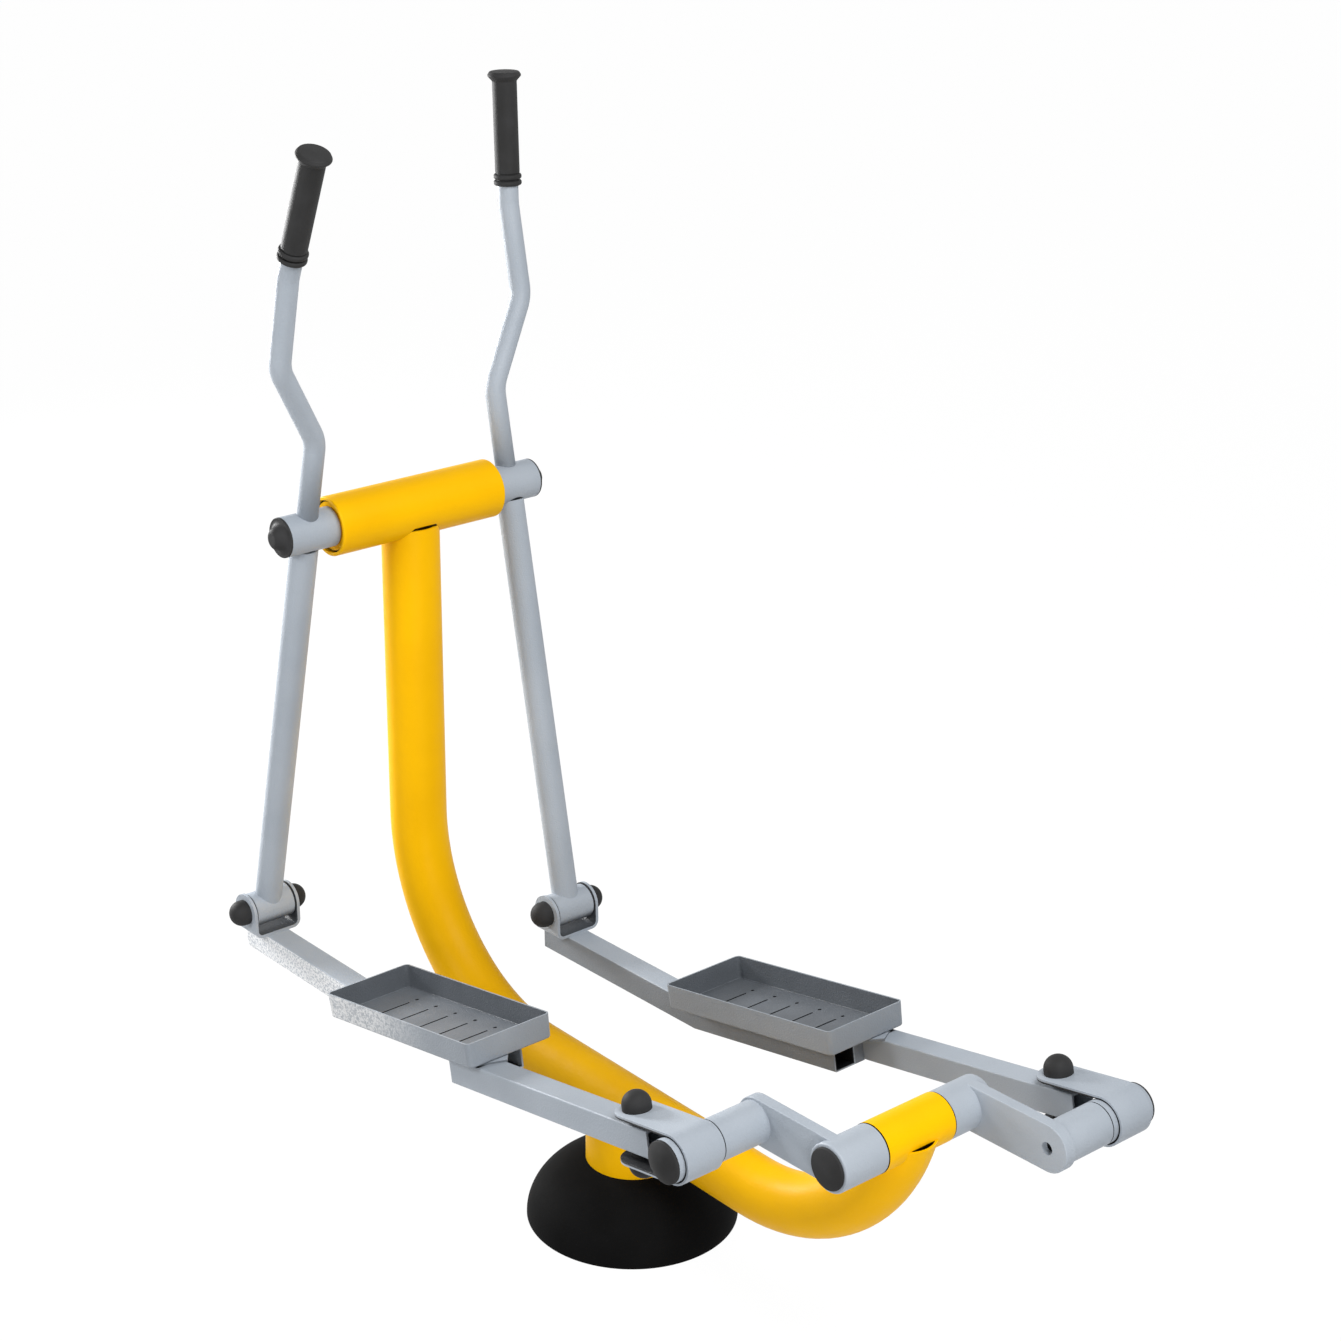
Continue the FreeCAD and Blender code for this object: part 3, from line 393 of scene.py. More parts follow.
node_finishes = {}
tray_middle = {}
for side in sides:
    low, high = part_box(f"{side}_pedal_tray")
    tray_middle[side] = (low + high) / 2
    dirt_and_shade = tray_dirt_and_shade(tray_middle[side], tray_slope[side])
    cover = under_tray(tray_middle[side], tray_slope[side])
    flash = outer_flash(tray_flash_rear, tray_flash_front) if side == "left" else None
    bar_shade = shaded_top(cover, top_shade[side])
    node_finishes[f"{side}_pedal_tray"] = grey_powder_coat(f"{side}_tray_coat", dirt_and_shade, flash)
    node_finishes[f"{side}_pedal_plate"] = grey_powder_coat(f"{side}_plate_coat", plate_shade(cover))
    node_finishes[f"{side}_rear_bar"] = grey_powder_coat(f"{side}_rear_bar_coat", bar_shade)
print("made", [material.name for material in node_finishes.values()])

# %% [markdown]
# ## Where no light gets in
# The machine is lit brightly, and still it shows thin black lines: slits where a tube meets a round
# housing, rings between pieces that turn, the open end of a bar and the inside of a strap. Light hardly
# reaches them,
# so they are painted shade: the coat's colour is darkened there. Each of these places has a simple rule in
# its own frame, mostly a distance from an axis, and a fade about a millimetre wide. The low run gets
# painted shade as well, with a wider fade.


# %% Slits
fade = 0.001
half_fade = fade / 2


def bore_below(centre, slope, radius, depth):
    """Painted shade where a tube hides the round housing it hangs from: near its axis and below a depth."""
    def shade(finish):
        x, y, z = in_frame(finish, centre, slope)
        away = (x * x + y * y).root()
        return away.between(radius + half_fade, radius - half_fade) * z.between(-depth, -depth - fade)
    return shade


def groove_beyond(centre, radius):
    """Painted shade in the ring groove round a disc, beyond a radius from its axis."""
    def shade(finish):
        x, _, z = in_frame(finish, centre, 0.0)
        return (x * x + z * z).root().between(radius, radius + half_fade)
    return shade


print("slits ready")

# %% Bores
tail_centre = Vector((-0.26509, 0, 0.4725))
tail_bend = 0.3
tail_bore_radius = 0.0405
tail_end = -0.0835
tail_fade = 0.01
bar_bore_half = 0.018
bar_bore_reach = 0.69
bar_bore_fade = 0.01
inner_side_shade = 0.45


def tail_bore(finish):
    """Painted shade inside the bend of the tail, below its level end."""
    x, y, z = in_frame(finish, tail_centre, 0.0)
    around = (x * x + z * z).root() - tail_bend
    away = (around * around + y * y).root()
    inside = away.between(tail_bore_radius + fade, tail_bore_radius) * z.between(tail_end + fade, tail_end)
    return inside * x.between(0.0, -tail_fade)


def bar_bore(pin, slope, cover, darkness):
    """Painted shade inside a front bar near its open end, on its top under the tray and on its inner side.
    """
    def shade(finish):
        x, y, z = in_frame(finish, pin, slope)
        away = y.magnitude().at_least(z.magnitude())
        inside = away.between(bar_bore_half + half_fade, bar_bore_half - half_fade)
        inside = inside * x.between(bar_bore_reach + bar_bore_fade, bar_bore_reach)
        inward = finish.part_of(finish.facing, "Y") * -math.copysign(1.0, pin.y)
        side_shade = inner_side_shade * inward.between(0.7, 0.9)
        return (inside * darkness).at_least(cover(finish)).at_least(side_shade)
    return shade


print("bores ready")

# %% Gaps between pieces
strap_inner = 0.214
strap_outer = 0.274
strap_bore_radius = 0.0325
strap_fade = 0.0003
clevis_gap_half = 0.0365
clevis_floor = -0.0365
clevis_floor_fade = 0.0015
clevis_dark = 0.85
underside_dark = 0.7


def flat_ends(inner=0.0, outer=1.0):
    """Painted shade on flat ends of a piece along Y that lie between two distances from the machine's
    middle.
    """
    def shade(finish):
        flat = finish.part_of(finish.facing, "Y").magnitude().between(0.8, 0.95)
        away = finish.part_of(finish.place, "Y").magnitude()
        return flat * away.between(inner - fade, inner) * away.between(outer + fade, outer)
    return shade


def sleeve_gaps(finish):
    """Painted shade on the sleeve's flat ends and on the band that the strap covers."""
    away = finish.part_of(finish.place, "Y").magnitude()
    covered = away.between(strap_inner, strap_inner + half_fade)
    covered = covered * away.between(strap_outer, strap_outer - half_fade)
    return covered.at_least(flat_ends()(finish))


def strap_inside(pin, slope):
    """Painted shade inside a bent strap, within its bend and between its two tongues."""
    def shade(finish):
        x, _, z = in_frame(finish, pin, slope)
        behind = x.at_most(0.0)
        away = (behind * behind + z * z).root()
        return away.between(strap_bore_radius + strap_fade, strap_bore_radius - strap_fade)
    return shade


def clevis_inside(pivot, slope):
    """Painted shade inside a clevis, between its ears and above its floor, but not on its cut edges."""
    def shade(finish):
        _, y, z = in_frame(finish, pivot, slope)
        cut_edge = finish.part_of(finish.facing, "X").magnitude().between(0.7, 0.9)
        between_ears = y.magnitude().between(clevis_gap_half + half_fade, clevis_gap_half)
        above_floor = z.between(clevis_floor, clevis_floor + clevis_floor_fade)
        return (1 - cut_edge) * clevis_dark * between_ears * above_floor
    return shade


def underside(finish):
    """Painted shade on faces that look down."""
    return underside_dark * finish.part_of(finish.facing, "Z").between(-0.1, -0.7)


print("gaps ready")

# %% Yellow coats with dark places
housing_end_inner = 0.055
housing_end_outer = 0.065
# Painted shade on the low run: the tube is darker low down and ahead of the tail
run_shade_top = 0.5
run_shade_full = 0.2
run_shade_rear = -0.35
run_shade_front = -0.05
run_shade = 0.27
column_radius = 0.0445
column_depth = 0.02
disc_groove_radius = 0.0365
axle_place = (joint_place["left_arm_swing"] + joint_place["right_arm_swing"]) / 2


def housing_gaps(finish):
    """Painted shade in the tail's bore, and on the flat ends of the crank housing on it, beside the hubs.
    """
    return tail_bore(finish).at_least(flat_ends(housing_end_inner, housing_end_outer)(finish))


def tube_shade(finish):
    """The tail's bore, and painted shade on the low run ahead of the tail."""
    low = finish.part_of(finish.place, "Z").between(run_shade_top, run_shade_full)
    ahead = finish.part_of(finish.place, "X").between(run_shade_rear, run_shade_front)
    return tail_bore(finish).at_least(run_shade * low * ahead)


# Every yellow shade below is painted shade
yellow_shades = {
    "main_tube": tube_shade,
    "crank_housing": housing_gaps,
    "top_housing": bore_below(axle_place, 0.0, column_radius, column_depth),
    "axle_discs": groove_beyond(axle_place, disc_groove_radius),
}
for node, shade in yellow_shades.items():
    node_finishes[node] = yellow_powder_coat(node + "_coat", shade)
print("yellow coats with dark places", len(yellow_shades))

# %% Grey coats with dark places
hub_gap_end = 0.064
arm_radius = 0.0212
arm_depth = 0.012
front_pitch = math.radians(10.1)
bar_flash_rear = 0.15
bar_flash_front = 0.45
bore_darkness = {"left": 0.1, "right": 1.0}
# Every grey shade below is painted shade
grey_shades = {"crank_hubs": flat_ends(outer=hub_gap_end), "crank_collars": flat_ends()}
for side in sides:
    pivot = joint_place[f"{side}_foot_pivot"]
    axle = joint_place[f"{side}_arm_swing"]
    slope = tray_slope[side]
    bar_pin = Vector((pin_place[side].x, pivot.y, pin_place[side].z))
    arm_slope = math.atan2(axle.x - pivot.x, axle.z - pivot.z)
    grey_shades[f"{side}_arm_hub"] = bore_below(axle, arm_slope, arm_radius, arm_depth)
    cover = under_tray(tray_middle[side], slope)
    grey_shades[f"{side}_front_bar"] = bar_bore(bar_pin, slope, cover, bore_darkness[side])
    grey_shades[f"{side}_pin_strap"] = strap_inside(pin_place[side], slope)
    grey_shades[f"{side}_pin_sleeve"] = sleeve_gaps
    grey_shades[f"{side}_clevis"] = clevis_inside(pivot, slope - front_pitch)
    grey_shades[f"{side}_lower_sleeve"] = underside
for node, shade in grey_shades.items():
    flash = outer_flash(bar_flash_rear, bar_flash_front) if node == "left_front_bar" else None
    node_finishes[node] = grey_powder_coat(node + "_coat", shade, flash)
print("grey coats with dark places", len(grey_shades))

# %% [markdown]
# ## Black plastic and black rubber
# Caps and the base cover are moulded: even black, with the fine spark-eroded grain of the mould and a
# roughness that is a little patchy. The cover is the blackest and dullest of them. The rubber of the
# grips has a finer grain and a little more sheen.


# %% Black plastic and rubber
sheen_patch_size = 0.05
worn_black = 1.5
worn_blue = 1.55


def moulded_black(name, shade, dull, sheen, grain_size, grain_depth):
    """A black that pales in patches; dull is its least roughness and sheen its specular level."""
    finish = Finish(name)
    grain = finish.noise(grain_size, 3.0, 0.6)
    cloud = finish.noise(sheen_patch_size, 3.0)
    tone = finish.blend(cloud.between(0.3, 0.75), colour(shade, shade, shade),
                        colour(shade * worn_black, shade * worn_black, shade * worn_blue))
    rough = dull + 0.15 * cloud + 0.1 * grain
    return finish.set(Base_Color=tone, Roughness=rough, Specular_IOR_Level=sheen,
                      Normal=finish.bump(grain, grain_depth))


plastic = moulded_black("moulded_black_plastic", shade=0.026, dull=0.5, sheen=0.08,
                        grain_size=0.0012, grain_depth=0.00008)
cover_plastic = moulded_black("base_cover_plastic", shade=0.0035, dull=0.6, sheen=0.04,
                              grain_size=0.002, grain_depth=0.00015)
rubber = moulded_black("soft_black_rubber", shade=0.022, dull=0.5, sheen=0.15,
                       grain_size=0.0009, grain_depth=0.00012)
print("made", plastic.name, cover_plastic.name, rubber.name)

# %% [markdown]
# ## Bare metals inside
# Axles, bolts and bearings are steel with fine marks from the tool and a few stains, the anchor flange is
# galvanised with its patchy zinc flowers, and the bushes are sintered bronze full of small pores. They
# hardly show from outside. The roots of the crank pins sit deep in their holes, and painted shade makes
# their steel nearly black.


# %% Bare metals
def turned_steel(name, light):
    """Steel with tool marks and stains; light is 1 for clean metal and less where painted shade darkens it.
    """
    finish = Finish(name)
    marks = finish.noise(0.0011, 2.0)
    stain = finish.noise(0.03, 3.0)
    clean = colour(0.5 * light, 0.51 * light, 0.52 * light)
    stained = colour(0.36 * light, 0.36 * light, 0.37 * light)
    tone = finish.blend(stain.between(0.35, 0.75), clean, stained)
    return finish.set(Base_Color=tone, Metallic=1.0, Roughness=0.25 + 0.2 * marks + 0.1 * stain,
                      Normal=finish.bump(marks, 0.00005))


def galvanised_zinc():
    """Zinc whose crystals show as flowers about a centimetre across."""
    finish = Finish("galvanised_zinc")
    flower = finish.grains(0.012)
    cloud = finish.noise(0.04, 3.0)
    tone = finish.blend(flower.between(0.1, 0.7), colour(0.5, 0.52, 0.54), colour(0.36, 0.38, 0.4))
    return finish.set(Base_Color=tone, Metallic=0.85, Roughness=0.4 + 0.2 * cloud,
                      Normal=finish.bump(flower, 0.0001))


def sintered_bronze():
    """Pressed bronze powder with pores under a millimetre."""
    finish = Finish("sintered_bronze")
    pores = finish.grains(0.0009)
    cloud = finish.noise(0.012, 2.0)
    tone = finish.blend(cloud.between(0.3, 0.7), colour(0.42, 0.27, 0.12), colour(0.52, 0.36, 0.17))
    return finish.set(Base_Color=tone, Metallic=0.9, Roughness=0.35 + 0.2 * cloud,
                      Normal=finish.bump(pores, 0.00008))


steel = turned_steel("turned_steel", light=1.0)
greasy_steel = turned_steel("greasy_steel", light=0.05)
zinc = galvanised_zinc()
bronze = sintered_bronze()
print("made", steel.name, greasy_steel.name, zinc.name, bronze.name)

# %% [markdown]
# ## Finishes onto the solids
# The record says which finish each solid has, by the name of a material slot. A solid with dark places of
# its own takes the coat made for it, and every other one the plain material of its slot, so none is
# forgotten.


# %% Finishes onto the solids
finish_of_slot = {
    "yellow_paint": yellow, "grey_paint": grey, "black_plastic": plastic, "black_rubber": rubber,
    "steel": steel, "galvanised": zinc, "bronze": bronze,
}
node_finishes["base_cover"] = cover_plastic
# The crank pin roots get painted shade, as they sit deep in their holes
node_finishes["crank_pin_roots"] = greasy_steel
slot_of_node = {subpart["node"]: subpart["material_slot"] for subpart in record["subparts"]}
for name, solid in frame["nodes"].items():
    material = node_finishes.get(name) or finish_of_slot[slot_of_node[name]]
    if not solid.material_slots:
        solid.data.materials.append(material)
    for slot in solid.material_slots:
        slot.material = material
print("dressed", len(frame["nodes"]), "solids")

# %% [markdown]
# ## Shapes that follow a rule
# A bent tube is a rule: a line of corners, one bend radius and one tube radius. Geometry Nodes states
# exactly that. The wire becomes a curve, Fillet Curve rounds its corners, a circle is swept along it, and
# every size is a named input. The result is kept as a plain mesh, because copies and live modifiers don't
# travel.


# %% Shape
class Shape(Graph):
    """A Geometry Nodes tree with named inputs."""

    def __init__(self, name):
        super().__init__(bpy.data.node_groups.new(name, "GeometryNodeTree"))
        self.tree.interface.new_socket("Geometry", in_out="INPUT", socket_type="NodeSocketGeometry")
        self.tree.interface.new_socket("Geometry", in_out="OUTPUT", socket_type="NodeSocketGeometry")
        self.inlet = self.tree.nodes.new("NodeGroupInput")
        self.outlet = self.tree.nodes.new("NodeGroupOutput")
        self.wire = Value(self, self.inlet.outputs["Geometry"])

    def size(self, name, kind="NodeSocketFloat"):
        """A named input of the tree."""
        self.tree.interface.new_socket(name, in_out="INPUT", socket_type=kind)
        return Value(self, self.inlet.outputs[name])

    def end(self, geometry):
        """Makes copies real, smooths and paints the whole, and closes the tree."""
        whole = self.add("GeometryNodeRealizeInstances", {}, {"Geometry": geometry})
        smooth = self.add("GeometryNodeSetShadeSmooth", {}, {"Geometry": whole})
        finish = self.size("Finish", "NodeSocketMaterial")
        painted = self.add("GeometryNodeSetMaterial", {}, {"Geometry": smooth, "Material": finish})
        self.give(self.outlet.inputs["Geometry"], painted)
        return self.tree


def keep_mesh(maker, name):
    """The maker's finished mesh as a plain object; the maker and its modifiers go."""
    evaluated = maker.evaluated_get(bpy.context.evaluated_depsgraph_get())
    mesh = bpy.data.meshes.new_from_object(evaluated)
    piece = bpy.data.objects.new(name, mesh)
    scene.collection.objects.link(piece)
    bpy.data.objects.remove(maker)
    return piece


def shape_maker(tree, wire, sizes):
    """An object that runs a tree on a wire mesh."""
    maker = bpy.data.objects.new(tree.name + "_maker", wire)
    scene.collection.objects.link(maker)
    modifier = maker.modifiers.new("shape", "NODES")
    modifier.node_group = tree
    for socket in tree.interface.items_tree:
        if socket.in_out == "INPUT" and socket.name in sizes:
            modifier[socket.identifier] = sizes[socket.name]
    return maker


def stand_for(piece, body, slot, *nodes):
    """The piece rides on a body and stands for CAD nodes; slot is not used."""
    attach(piece, body)
    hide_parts(*nodes)
    print(piece.name, "rides on", body, "with", len(piece.data.polygons), "faces")


print("shape language ready")


# %% Bent tubes
bend_steps = 40
tube_ring_steps = 72


def bent_tube_tree():
    """A round tube along a wire, with every corner of the wire bent to one radius."""
    shape = Shape("bent_tube")
    line = shape.add("GeometryNodeMeshToCurve", {}, {"Mesh": shape.wire})
    radius = shape.size("Bend radius")
    bent = shape.add("GeometryNodeFilletCurve", {"mode": "POLY"},
                     {"Curve": line, "Count": bend_steps, "Radius": radius, "Limit Radius": True})
    ring = shape.add("GeometryNodeCurvePrimitiveCircle", {},
                     {"Resolution": tube_ring_steps, "Radius": shape.size("Tube radius")})
    return shape.end(shape.add("GeometryNodeCurveToMesh", {}, {"Curve": bent, "Profile Curve": ring}))


def bent_tube(name, corners, bend_radius, tube_radius, wall, finish):
    """A hollow bent tube through a list of corners, as a plain mesh."""
    wire = bpy.data.meshes.new(name + "_wire")
    wire.from_pydata(corners, [(index, index + 1) for index in range(len(corners) - 1)], [])
    sizes = {"Bend radius": bend_radius, "Tube radius": tube_radius, "Finish": finish}
    maker = shape_maker(bent_tubes, wire, sizes)
    skin = maker.modifiers.new("wall", "SOLIDIFY")
    skin.thickness = wall
    skin.offset = -1.0
    return keep_mesh(maker, name)


bent_tubes = bent_tube_tree()
print("made", bent_tubes.name)

# %% [markdown]
# ## The handles
# Each handle rises from the arm's hub, steps outward and leans back at the grip. Its corners are counted
# up the arm, so they are first placed in the arm's own frame: up runs from the foot pivot to the top
# axle, out points away from the machine and ahead is square to both.

# %% Handles
handle_lower_bend = 0.152
handle_upper_bend = 0.2796
handle_grip_bend = 0.4206
handle_offset = 0.0733
handle_tilt = math.radians(9.8)
handle_run = 0.197
handle_start = 0.026
handle_bend_radius = 0.06
handle_radius = 0.016
handle_wall = 0.0026
for side, sign in sides.items():
    axle = joint_place[f"{side}_arm_swing"]
    up = (axle - joint_place[f"{side}_foot_pivot"]).normalized()
    out = Vector((0, sign * handle_offset, 0))
    ahead = Vector((up.z, 0, -up.x))
    elbow = axle + out + up * handle_grip_bend
    corners = [
        axle + up * handle_start,
        axle + up * handle_lower_bend,
        axle + out + up * handle_upper_bend,
        elbow,
        elbow + (up * math.cos(handle_tilt) - ahead * math.sin(handle_tilt)) * handle_run,
    ]
    handle = bent_tube(f"{side}_handle_sweep", corners, handle_bend_radius, handle_radius,
                       handle_wall, grey)
    stand_for(handle, f"{side}_arm", "grey_paint", f"{side}_handle_tube")

# %% [markdown]
# ## Dome caps
# Every bolt end hides under the same black dome cap, four on each foot bar. That is a repeat, so one cap
# is made once and set on four points. The cap is turned by a rule too: along a line from base to crown
# the radius first stays even, for the skirt, and then closes as a quarter of an ellipse. Each point
# carries an axis that says which way its cap looks.


# %% Dome cap tree
skirt_share = 0.2
dome_steps = 32
cap_ring_steps = 64
crown_share = 0.004


def dome_cap_tree():
    """A dome cap on each point, along the point's axis."""
    shape = Shape("dome_caps")
    radius = shape.size("Radius")
    skirt = shape.size("Skirt")
    rise = shape.size("Rise")
    line = shape.add("GeometryNodeCurvePrimitiveLine", {}, {})
    line = shape.add("GeometryNodeResampleCurve", {}, {"Curve": line, "Count": dome_steps + 1})
    along = shape.add("GeometryNodeSplineParameter", {}, {}, "Index") * (1 / dome_steps)
    climb = (along - skirt_share).at_least(0.0) * (math.pi / 2 / (1 - skirt_share))
    height = skirt * (along * (1 / skirt_share)).at_most(1.0) + rise * climb.sine()
    spot = shape.add("ShaderNodeCombineXYZ", {}, {"Z": height})
    line = shape.add("GeometryNodeSetPosition", {}, {"Geometry": line, "Position": spot})
    ring = shape.add("GeometryNodeCurvePrimitiveCircle", {}, {"Resolution": cap_ring_steps, "Radius": 1.0})
    width = radius * climb.cosine().at_least(crown_share)
    cap = shape.add("GeometryNodeCurveToMesh", {},
                    {"Curve": line, "Profile Curve": ring, "Fill Caps": True, "Scale": width})
    axis = shape.add("GeometryNodeInputNamedAttribute", {"data_type": "FLOAT_VECTOR"}, {"Name": "axis"})
    turn = shape.add("FunctionNodeAlignRotationToVector", {"axis": "Z"}, {"Vector": axis})
    return shape.end(shape.add("GeometryNodeInstanceOnPoints", {},
                               {"Points": shape.wire, "Instance": cap, "Rotation": turn}))


dome_caps = dome_cap_tree()
print("made", dome_caps.name)

# %% Dome caps on both foot bars
cap_radius = 0.0203
cap_skirt = 0.007
cap_rise = 0.0195
clevis_half = 0.0415
strap_outer_radius = 0.0355
strap_bolt_reach = 0.0974
across = Vector((0, 1, 0))


def along_bar(slope):
    """The direction forward along a bar that slopes down towards the front."""
    return Vector((math.cos(slope), 0, -math.sin(slope)))


for side in sides:
    pivot = joint_place[f"{side}_foot_pivot"]
    slope = tray_slope[side]
    upward = Vector((math.sin(slope), 0, math.cos(slope)))
    bolt = pin_place[side] + along_bar(slope) * strap_bolt_reach
    low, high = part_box(f"{side}_rear_bar")
    bolt.y = (low.y + high.y) / 2
    places = []
    for start, axis, stand in ((pivot, across, clevis_half), (bolt, upward, strap_outer_radius)):
        places += [(start + axis * stand, axis), (start - axis * stand, -axis)]
    wire = bpy.data.meshes.new("cap_points")
    wire.from_pydata([spot for spot, axis in places], [], [])
    axes = wire.attributes.new("axis", "FLOAT_VECTOR", "POINT")
    for item, (spot, axis) in zip(axes.data, places):
        item.vector = axis
    sizes = {"Radius": cap_radius, "Skirt": cap_skirt, "Rise": cap_rise, "Finish": plastic}
    caps = keep_mesh(shape_maker(dome_caps, wire, sizes), f"{side}_dome_caps")
    stand_for(caps, f"{side}_foot_bar", "black_plastic", f"{side}_bolt_caps")

# %% [markdown]
# ## Eased edges
# Bent and cut sheet never has a razor edge: the coat flows round it and catches a thin line of light. A
# copy of such a solid is welded together, its flat faces are joined again and a narrow bevel rounds every
# edge that is sharper than a bend. Normals that are weighed by area then keep the broad faces flat.


# %% Copies of solids
weld_distance = 0.000002
flat_angle = math.radians(0.5)


def welded_copy(node):
    """A copy of a solid's mesh and a work mesh of it, with its doubled points merged."""
    mesh = frame["nodes"][node].data.copy()
    work = bmesh.new()
    work.from_mesh(mesh)
    bmesh.ops.remove_doubles(work, verts=work.verts, dist=weld_distance)
    return mesh, work


def join_flat_faces(work):
    """Makes one face of the triangles that lie in one plane."""
    bmesh.ops.dissolve_limit(work, angle_limit=flat_angle, verts=work.verts, edges=work.edges)


print("copies ready")

# %% Eased edges
sharpest_bend = math.radians(40)
eased_width = {"pedal_tray": 0.0009, "pin_strap": 0.0008}


def lean_to_large_faces(mesh):
    """Weighs each point's normal by the area of its faces."""
    leans = [Vector() for vert in mesh.vertices]
    for face in mesh.polygons:
        for index in face.vertices:
            leans[index] += face.normal * face.area
    mesh.normals_split_custom_set_from_vertices([lean.normalized() for lean in leans])


def eased_piece(node, width):
    """A copy of a solid with its sharp edges rounded by a narrow bevel."""
    mesh, work = welded_copy(node)
    join_flat_faces(work)
    work.to_mesh(mesh)
    work.free()
    maker = bpy.data.objects.new(node + "_maker", mesh)
    scene.collection.objects.link(maker)
    bevel = maker.modifiers.new("eased", "BEVEL")
    bevel.width = width
    bevel.segments = 2
    bevel.angle_limit = sharpest_bend
    mesh.shade_smooth()
    piece = keep_mesh(maker, node + "_eased")
    lean_to_large_faces(piece.data)
    return piece


for side in sides:
    for node, width in eased_width.items():
        eased = eased_piece(f"{side}_{node}", width)
        stand_for(eased, f"{side}_foot_bar", "grey_paint", f"{side}_{node}")

# %% [markdown]
# ## Trimmed copies
# Two kinds of solid reach a little further than the photograph shows: the foot post, whose top is lower
# there, and the open rear ends of the front bars. A copy of each is cut by a plane. The post's cut lies
# inside the thickness of its lid and is filled, and a bar's cut joins its two skins to a rim. The post's
# round wall gets normals that point straight away from its axis, so that its facets don't show. The lip
# of each pedal plate moves with its bar's end, as it closes the space between the two bars.


# %% Trimmed copies
def trimmed_work(node, point, outward):
    """A copy of a solid's mesh without what lies beyond a plane, and the edges of the cut."""
    mesh, work = welded_copy(node)
    everything = work.verts[:] + work.edges[:] + work.faces[:]
    bmesh.ops.bisect_plane(work, geom=everything, plane_co=point, plane_no=outward, clear_outer=True)
    return mesh, work, [edge for edge in work.edges if edge.is_boundary]


def closed_piece(name, mesh, work, corner):
    """A plain object with the work mesh, smooth but for edges sharper than a corner in degrees."""
    print(name, "open edges", sum(edge.is_boundary for edge in work.edges))
    work.to_mesh(mesh)
    work.free()
    mesh.shade_smooth()
    mesh.set_sharp_from_angle(angle=math.radians(corner))
    piece = bpy.data.objects.new(name, mesh)
    scene.collection.objects.link(piece)
    return piece


print("trimming ready")

# %% Foot post
post_top = 0.1668
post_corner = 40
wall_agreement = 0.95


def round_upright_walls(mesh):
    """Points the normals of walls round the Z axis straight at it or away from it."""
    normals = []
    for face in mesh.polygons:
        for index in face.vertices:
            spot = mesh.vertices[index].co
            radial = Vector((spot.x, spot.y, 0)).normalized()
            side_on = radial.dot(face.normal)
            on_wall = abs(side_on) > wall_agreement
            normals.append(radial * math.copysign(1.0, side_on) if on_wall else face.normal)
    mesh.normals_split_custom_set(normals)


mesh, work, cut = trimmed_work("foot_post", (0, 0, post_top), (0, 0, 1))
bmesh.ops.holes_fill(work, edges=cut, sides=0)
post = closed_piece("trimmed_foot_post", mesh, work, post_corner)
round_upright_walls(post.data)
stand_for(post, "frame", "yellow_paint", "foot_post")

# %% Front bars and plates
front_bar_end = 0.462
bar_corner = 8
lip_thickness = 0.003
lip_slack = 0.0005
for side in sides:
    ahead = along_bar(tray_slope[side])
    pin = pin_place[side]
    solid_bar = frame["nodes"][f"{side}_front_bar"].data
    solid_end = min(ahead.dot(vert.co - pin) for vert in solid_bar.vertices)
    mesh, work, cut = trimmed_work(f"{side}_front_bar", pin + ahead * front_bar_end, -ahead)
    bmesh.ops.bridge_loops(work, edges=cut)
    bar = closed_piece(f"{side}_trimmed_bar", mesh, work, bar_corner)
    stand_for(bar, f"{side}_foot_bar", "grey_paint", f"{side}_front_bar")
    mesh, work = welded_copy(f"{side}_pedal_plate")
    join_flat_faces(work)
    for vert in work.verts:
        past_end = ahead.dot(vert.co - pin) - solid_end
        if -lip_slack < past_end < lip_thickness + lip_slack:
            vert.co += ahead * (front_bar_end - solid_end)
    plate = closed_piece(f"{side}_fitted_plate", mesh, work, bar_corner)
    stand_for(plate, f"{side}_foot_bar", "grey_paint", f"{side}_pedal_plate")

# %% [markdown]
# ## Floor, light and camera
# The photograph is a studio picture on pure white. The floor shows white to the camera through Is Camera
# Ray and keeps a faint share of its own shading, so the machine still casts a soft shadow. A large soft
# lamp high behind the machine lights the near and upper faces, a weak lamp low behind it lifts the crank
# end, and another on the left lifts the outer sides. A strong lamp far in front grazes the sides, which
# draws the thin bright line along the left edge of every tube.


# %% Floor
floor_width = 80
dark_floor = colour(0.54, 0.54, 0.54)
light_floor = colour(0.56, 0.56, 0.56)
white_share = 0.93
white_glow = 1.05


def seen_directly(graph):
    """1 for rays that show the studio itself: to the camera, in a reflection or through glass."""
    rays = "ShaderNodeLightPath"
    seen = graph.add(rays, {}, {}, "Is Camera Ray")
    for kind in ("Is Glossy Ray", "Is Transmission Ray"):
        seen = seen.at_least(graph.add(rays, {}, {}, kind))
    return seen


def white_floor():
    """Pale paint that glows white where it is seen directly."""
    finish = Finish("white_floor")
    pale = finish.blend(finish.noise(0.6, 2.0), dark_floor, light_floor)
    finish.set(Base_Color=pale, Roughness=0.9)
    glow = finish.add("ShaderNodeEmission", {}, {"Strength": white_glow})
    paint = Value(finish, finish.shader.outputs[0])
    share = seen_directly(finish) * white_share
    mixed = finish.add("ShaderNodeMixShader", {}, {0: share, 1: paint, 2: glow})
    finish.give(finish.tree.nodes["Material Output"].inputs["Surface"], mixed)
    return finish.material


bpy.ops.mesh.primitive_plane_add(size=floor_width, location=(0, 0, 0))
floor = bpy.context.object
floor.name = "studio_floor"
floor.data.materials.append(white_floor())
print("floor", tuple(floor.dimensions))


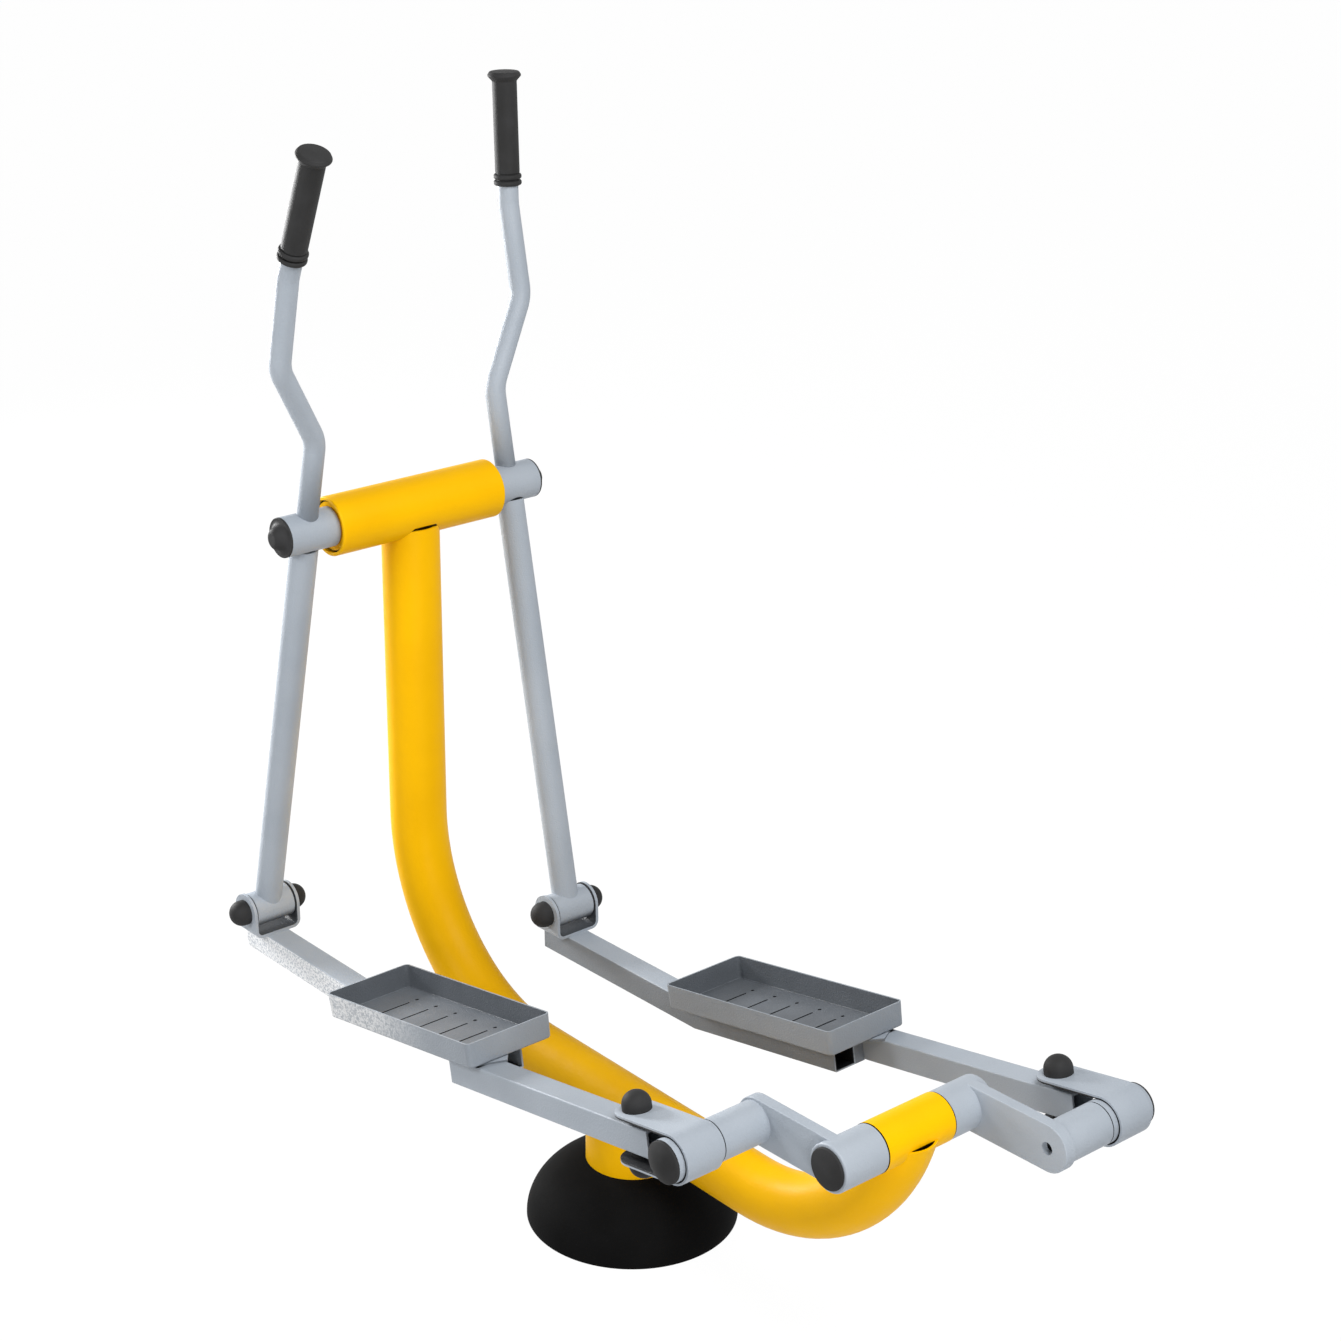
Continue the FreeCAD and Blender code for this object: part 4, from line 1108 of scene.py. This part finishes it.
# %% World and lamps
def white_world(light):
    """White to look at, and a softer light on the object."""
    world = bpy.data.worlds.new("studio_world")
    scene.world = world
    world.use_nodes = True
    graph = Graph(world.node_tree)
    level = seen_directly(graph) * (1 - light) + light
    background = world.node_tree.nodes["Background"]
    graph.give(background.inputs["Color"], colour(1.0, 1.0, 1.0))
    graph.give(background.inputs["Strength"], level)


def soft_lamp(name, place, target, size, power):
    """A square lamp of a size in metres and a power in watts that looks at a target."""
    lamp = bpy.data.lights.new(name, "AREA")
    lamp.size = size
    lamp.energy = power
    holder = bpy.data.objects.new(name, lamp)
    scene.collection.objects.link(holder)
    holder.location = place
    holder.rotation_euler = (Vector(target) - Vector(place)).to_track_quat("-Z", "Y").to_euler()


white_world(light=0.28)
soft_lamp("shoulder_lamp", place=(-1.4, 0.1, 2.8), target=(0.1, 0, 0.7), size=1.4, power=56)
soft_lamp("low_rear_lamp", place=(-1.9, 0.8, 0.6), target=(-0.5, 0, 0.4), size=0.5, power=10)
soft_lamp("left_side_lamp", place=(0.6, 1.5, 1.3), target=(0.2, 0.2, 0.5), size=0.5, power=10)
soft_lamp("front_edge_lamp", place=(4.0, 0.7, 1.3), target=(0, 0, 0.6), size=0.8, power=210)

# %% [markdown]
# The camera was found by matching known lines of the machine with the picture: it stands some metres
# behind the machine and to its left, well above the grips, with a fairly long lens and half a degree of
# roll.

# %% Camera
focal_length = 72.85
sensor_width = 36.0
camera_place = (-2.67964, 2.2305, 2.26655)
view_direction = Vector((0.704915, -0.604238, -0.371473))
camera_roll = math.radians(0.483)
lens = bpy.data.cameras.new("photo_camera")
lens.lens = focal_length
lens.sensor_width = sensor_width
camera = bpy.data.objects.new("photo_camera", lens)
scene.collection.objects.link(camera)
camera.location = camera_place
view = view_direction.to_track_quat("-Z", "Y").to_matrix()
camera.rotation_euler = (view @ Matrix.Rotation(camera_roll, 3, "Z")).to_euler()
scene.camera = camera
scene.view_settings.view_transform = "Standard"
print("camera at", tuple(camera.location))
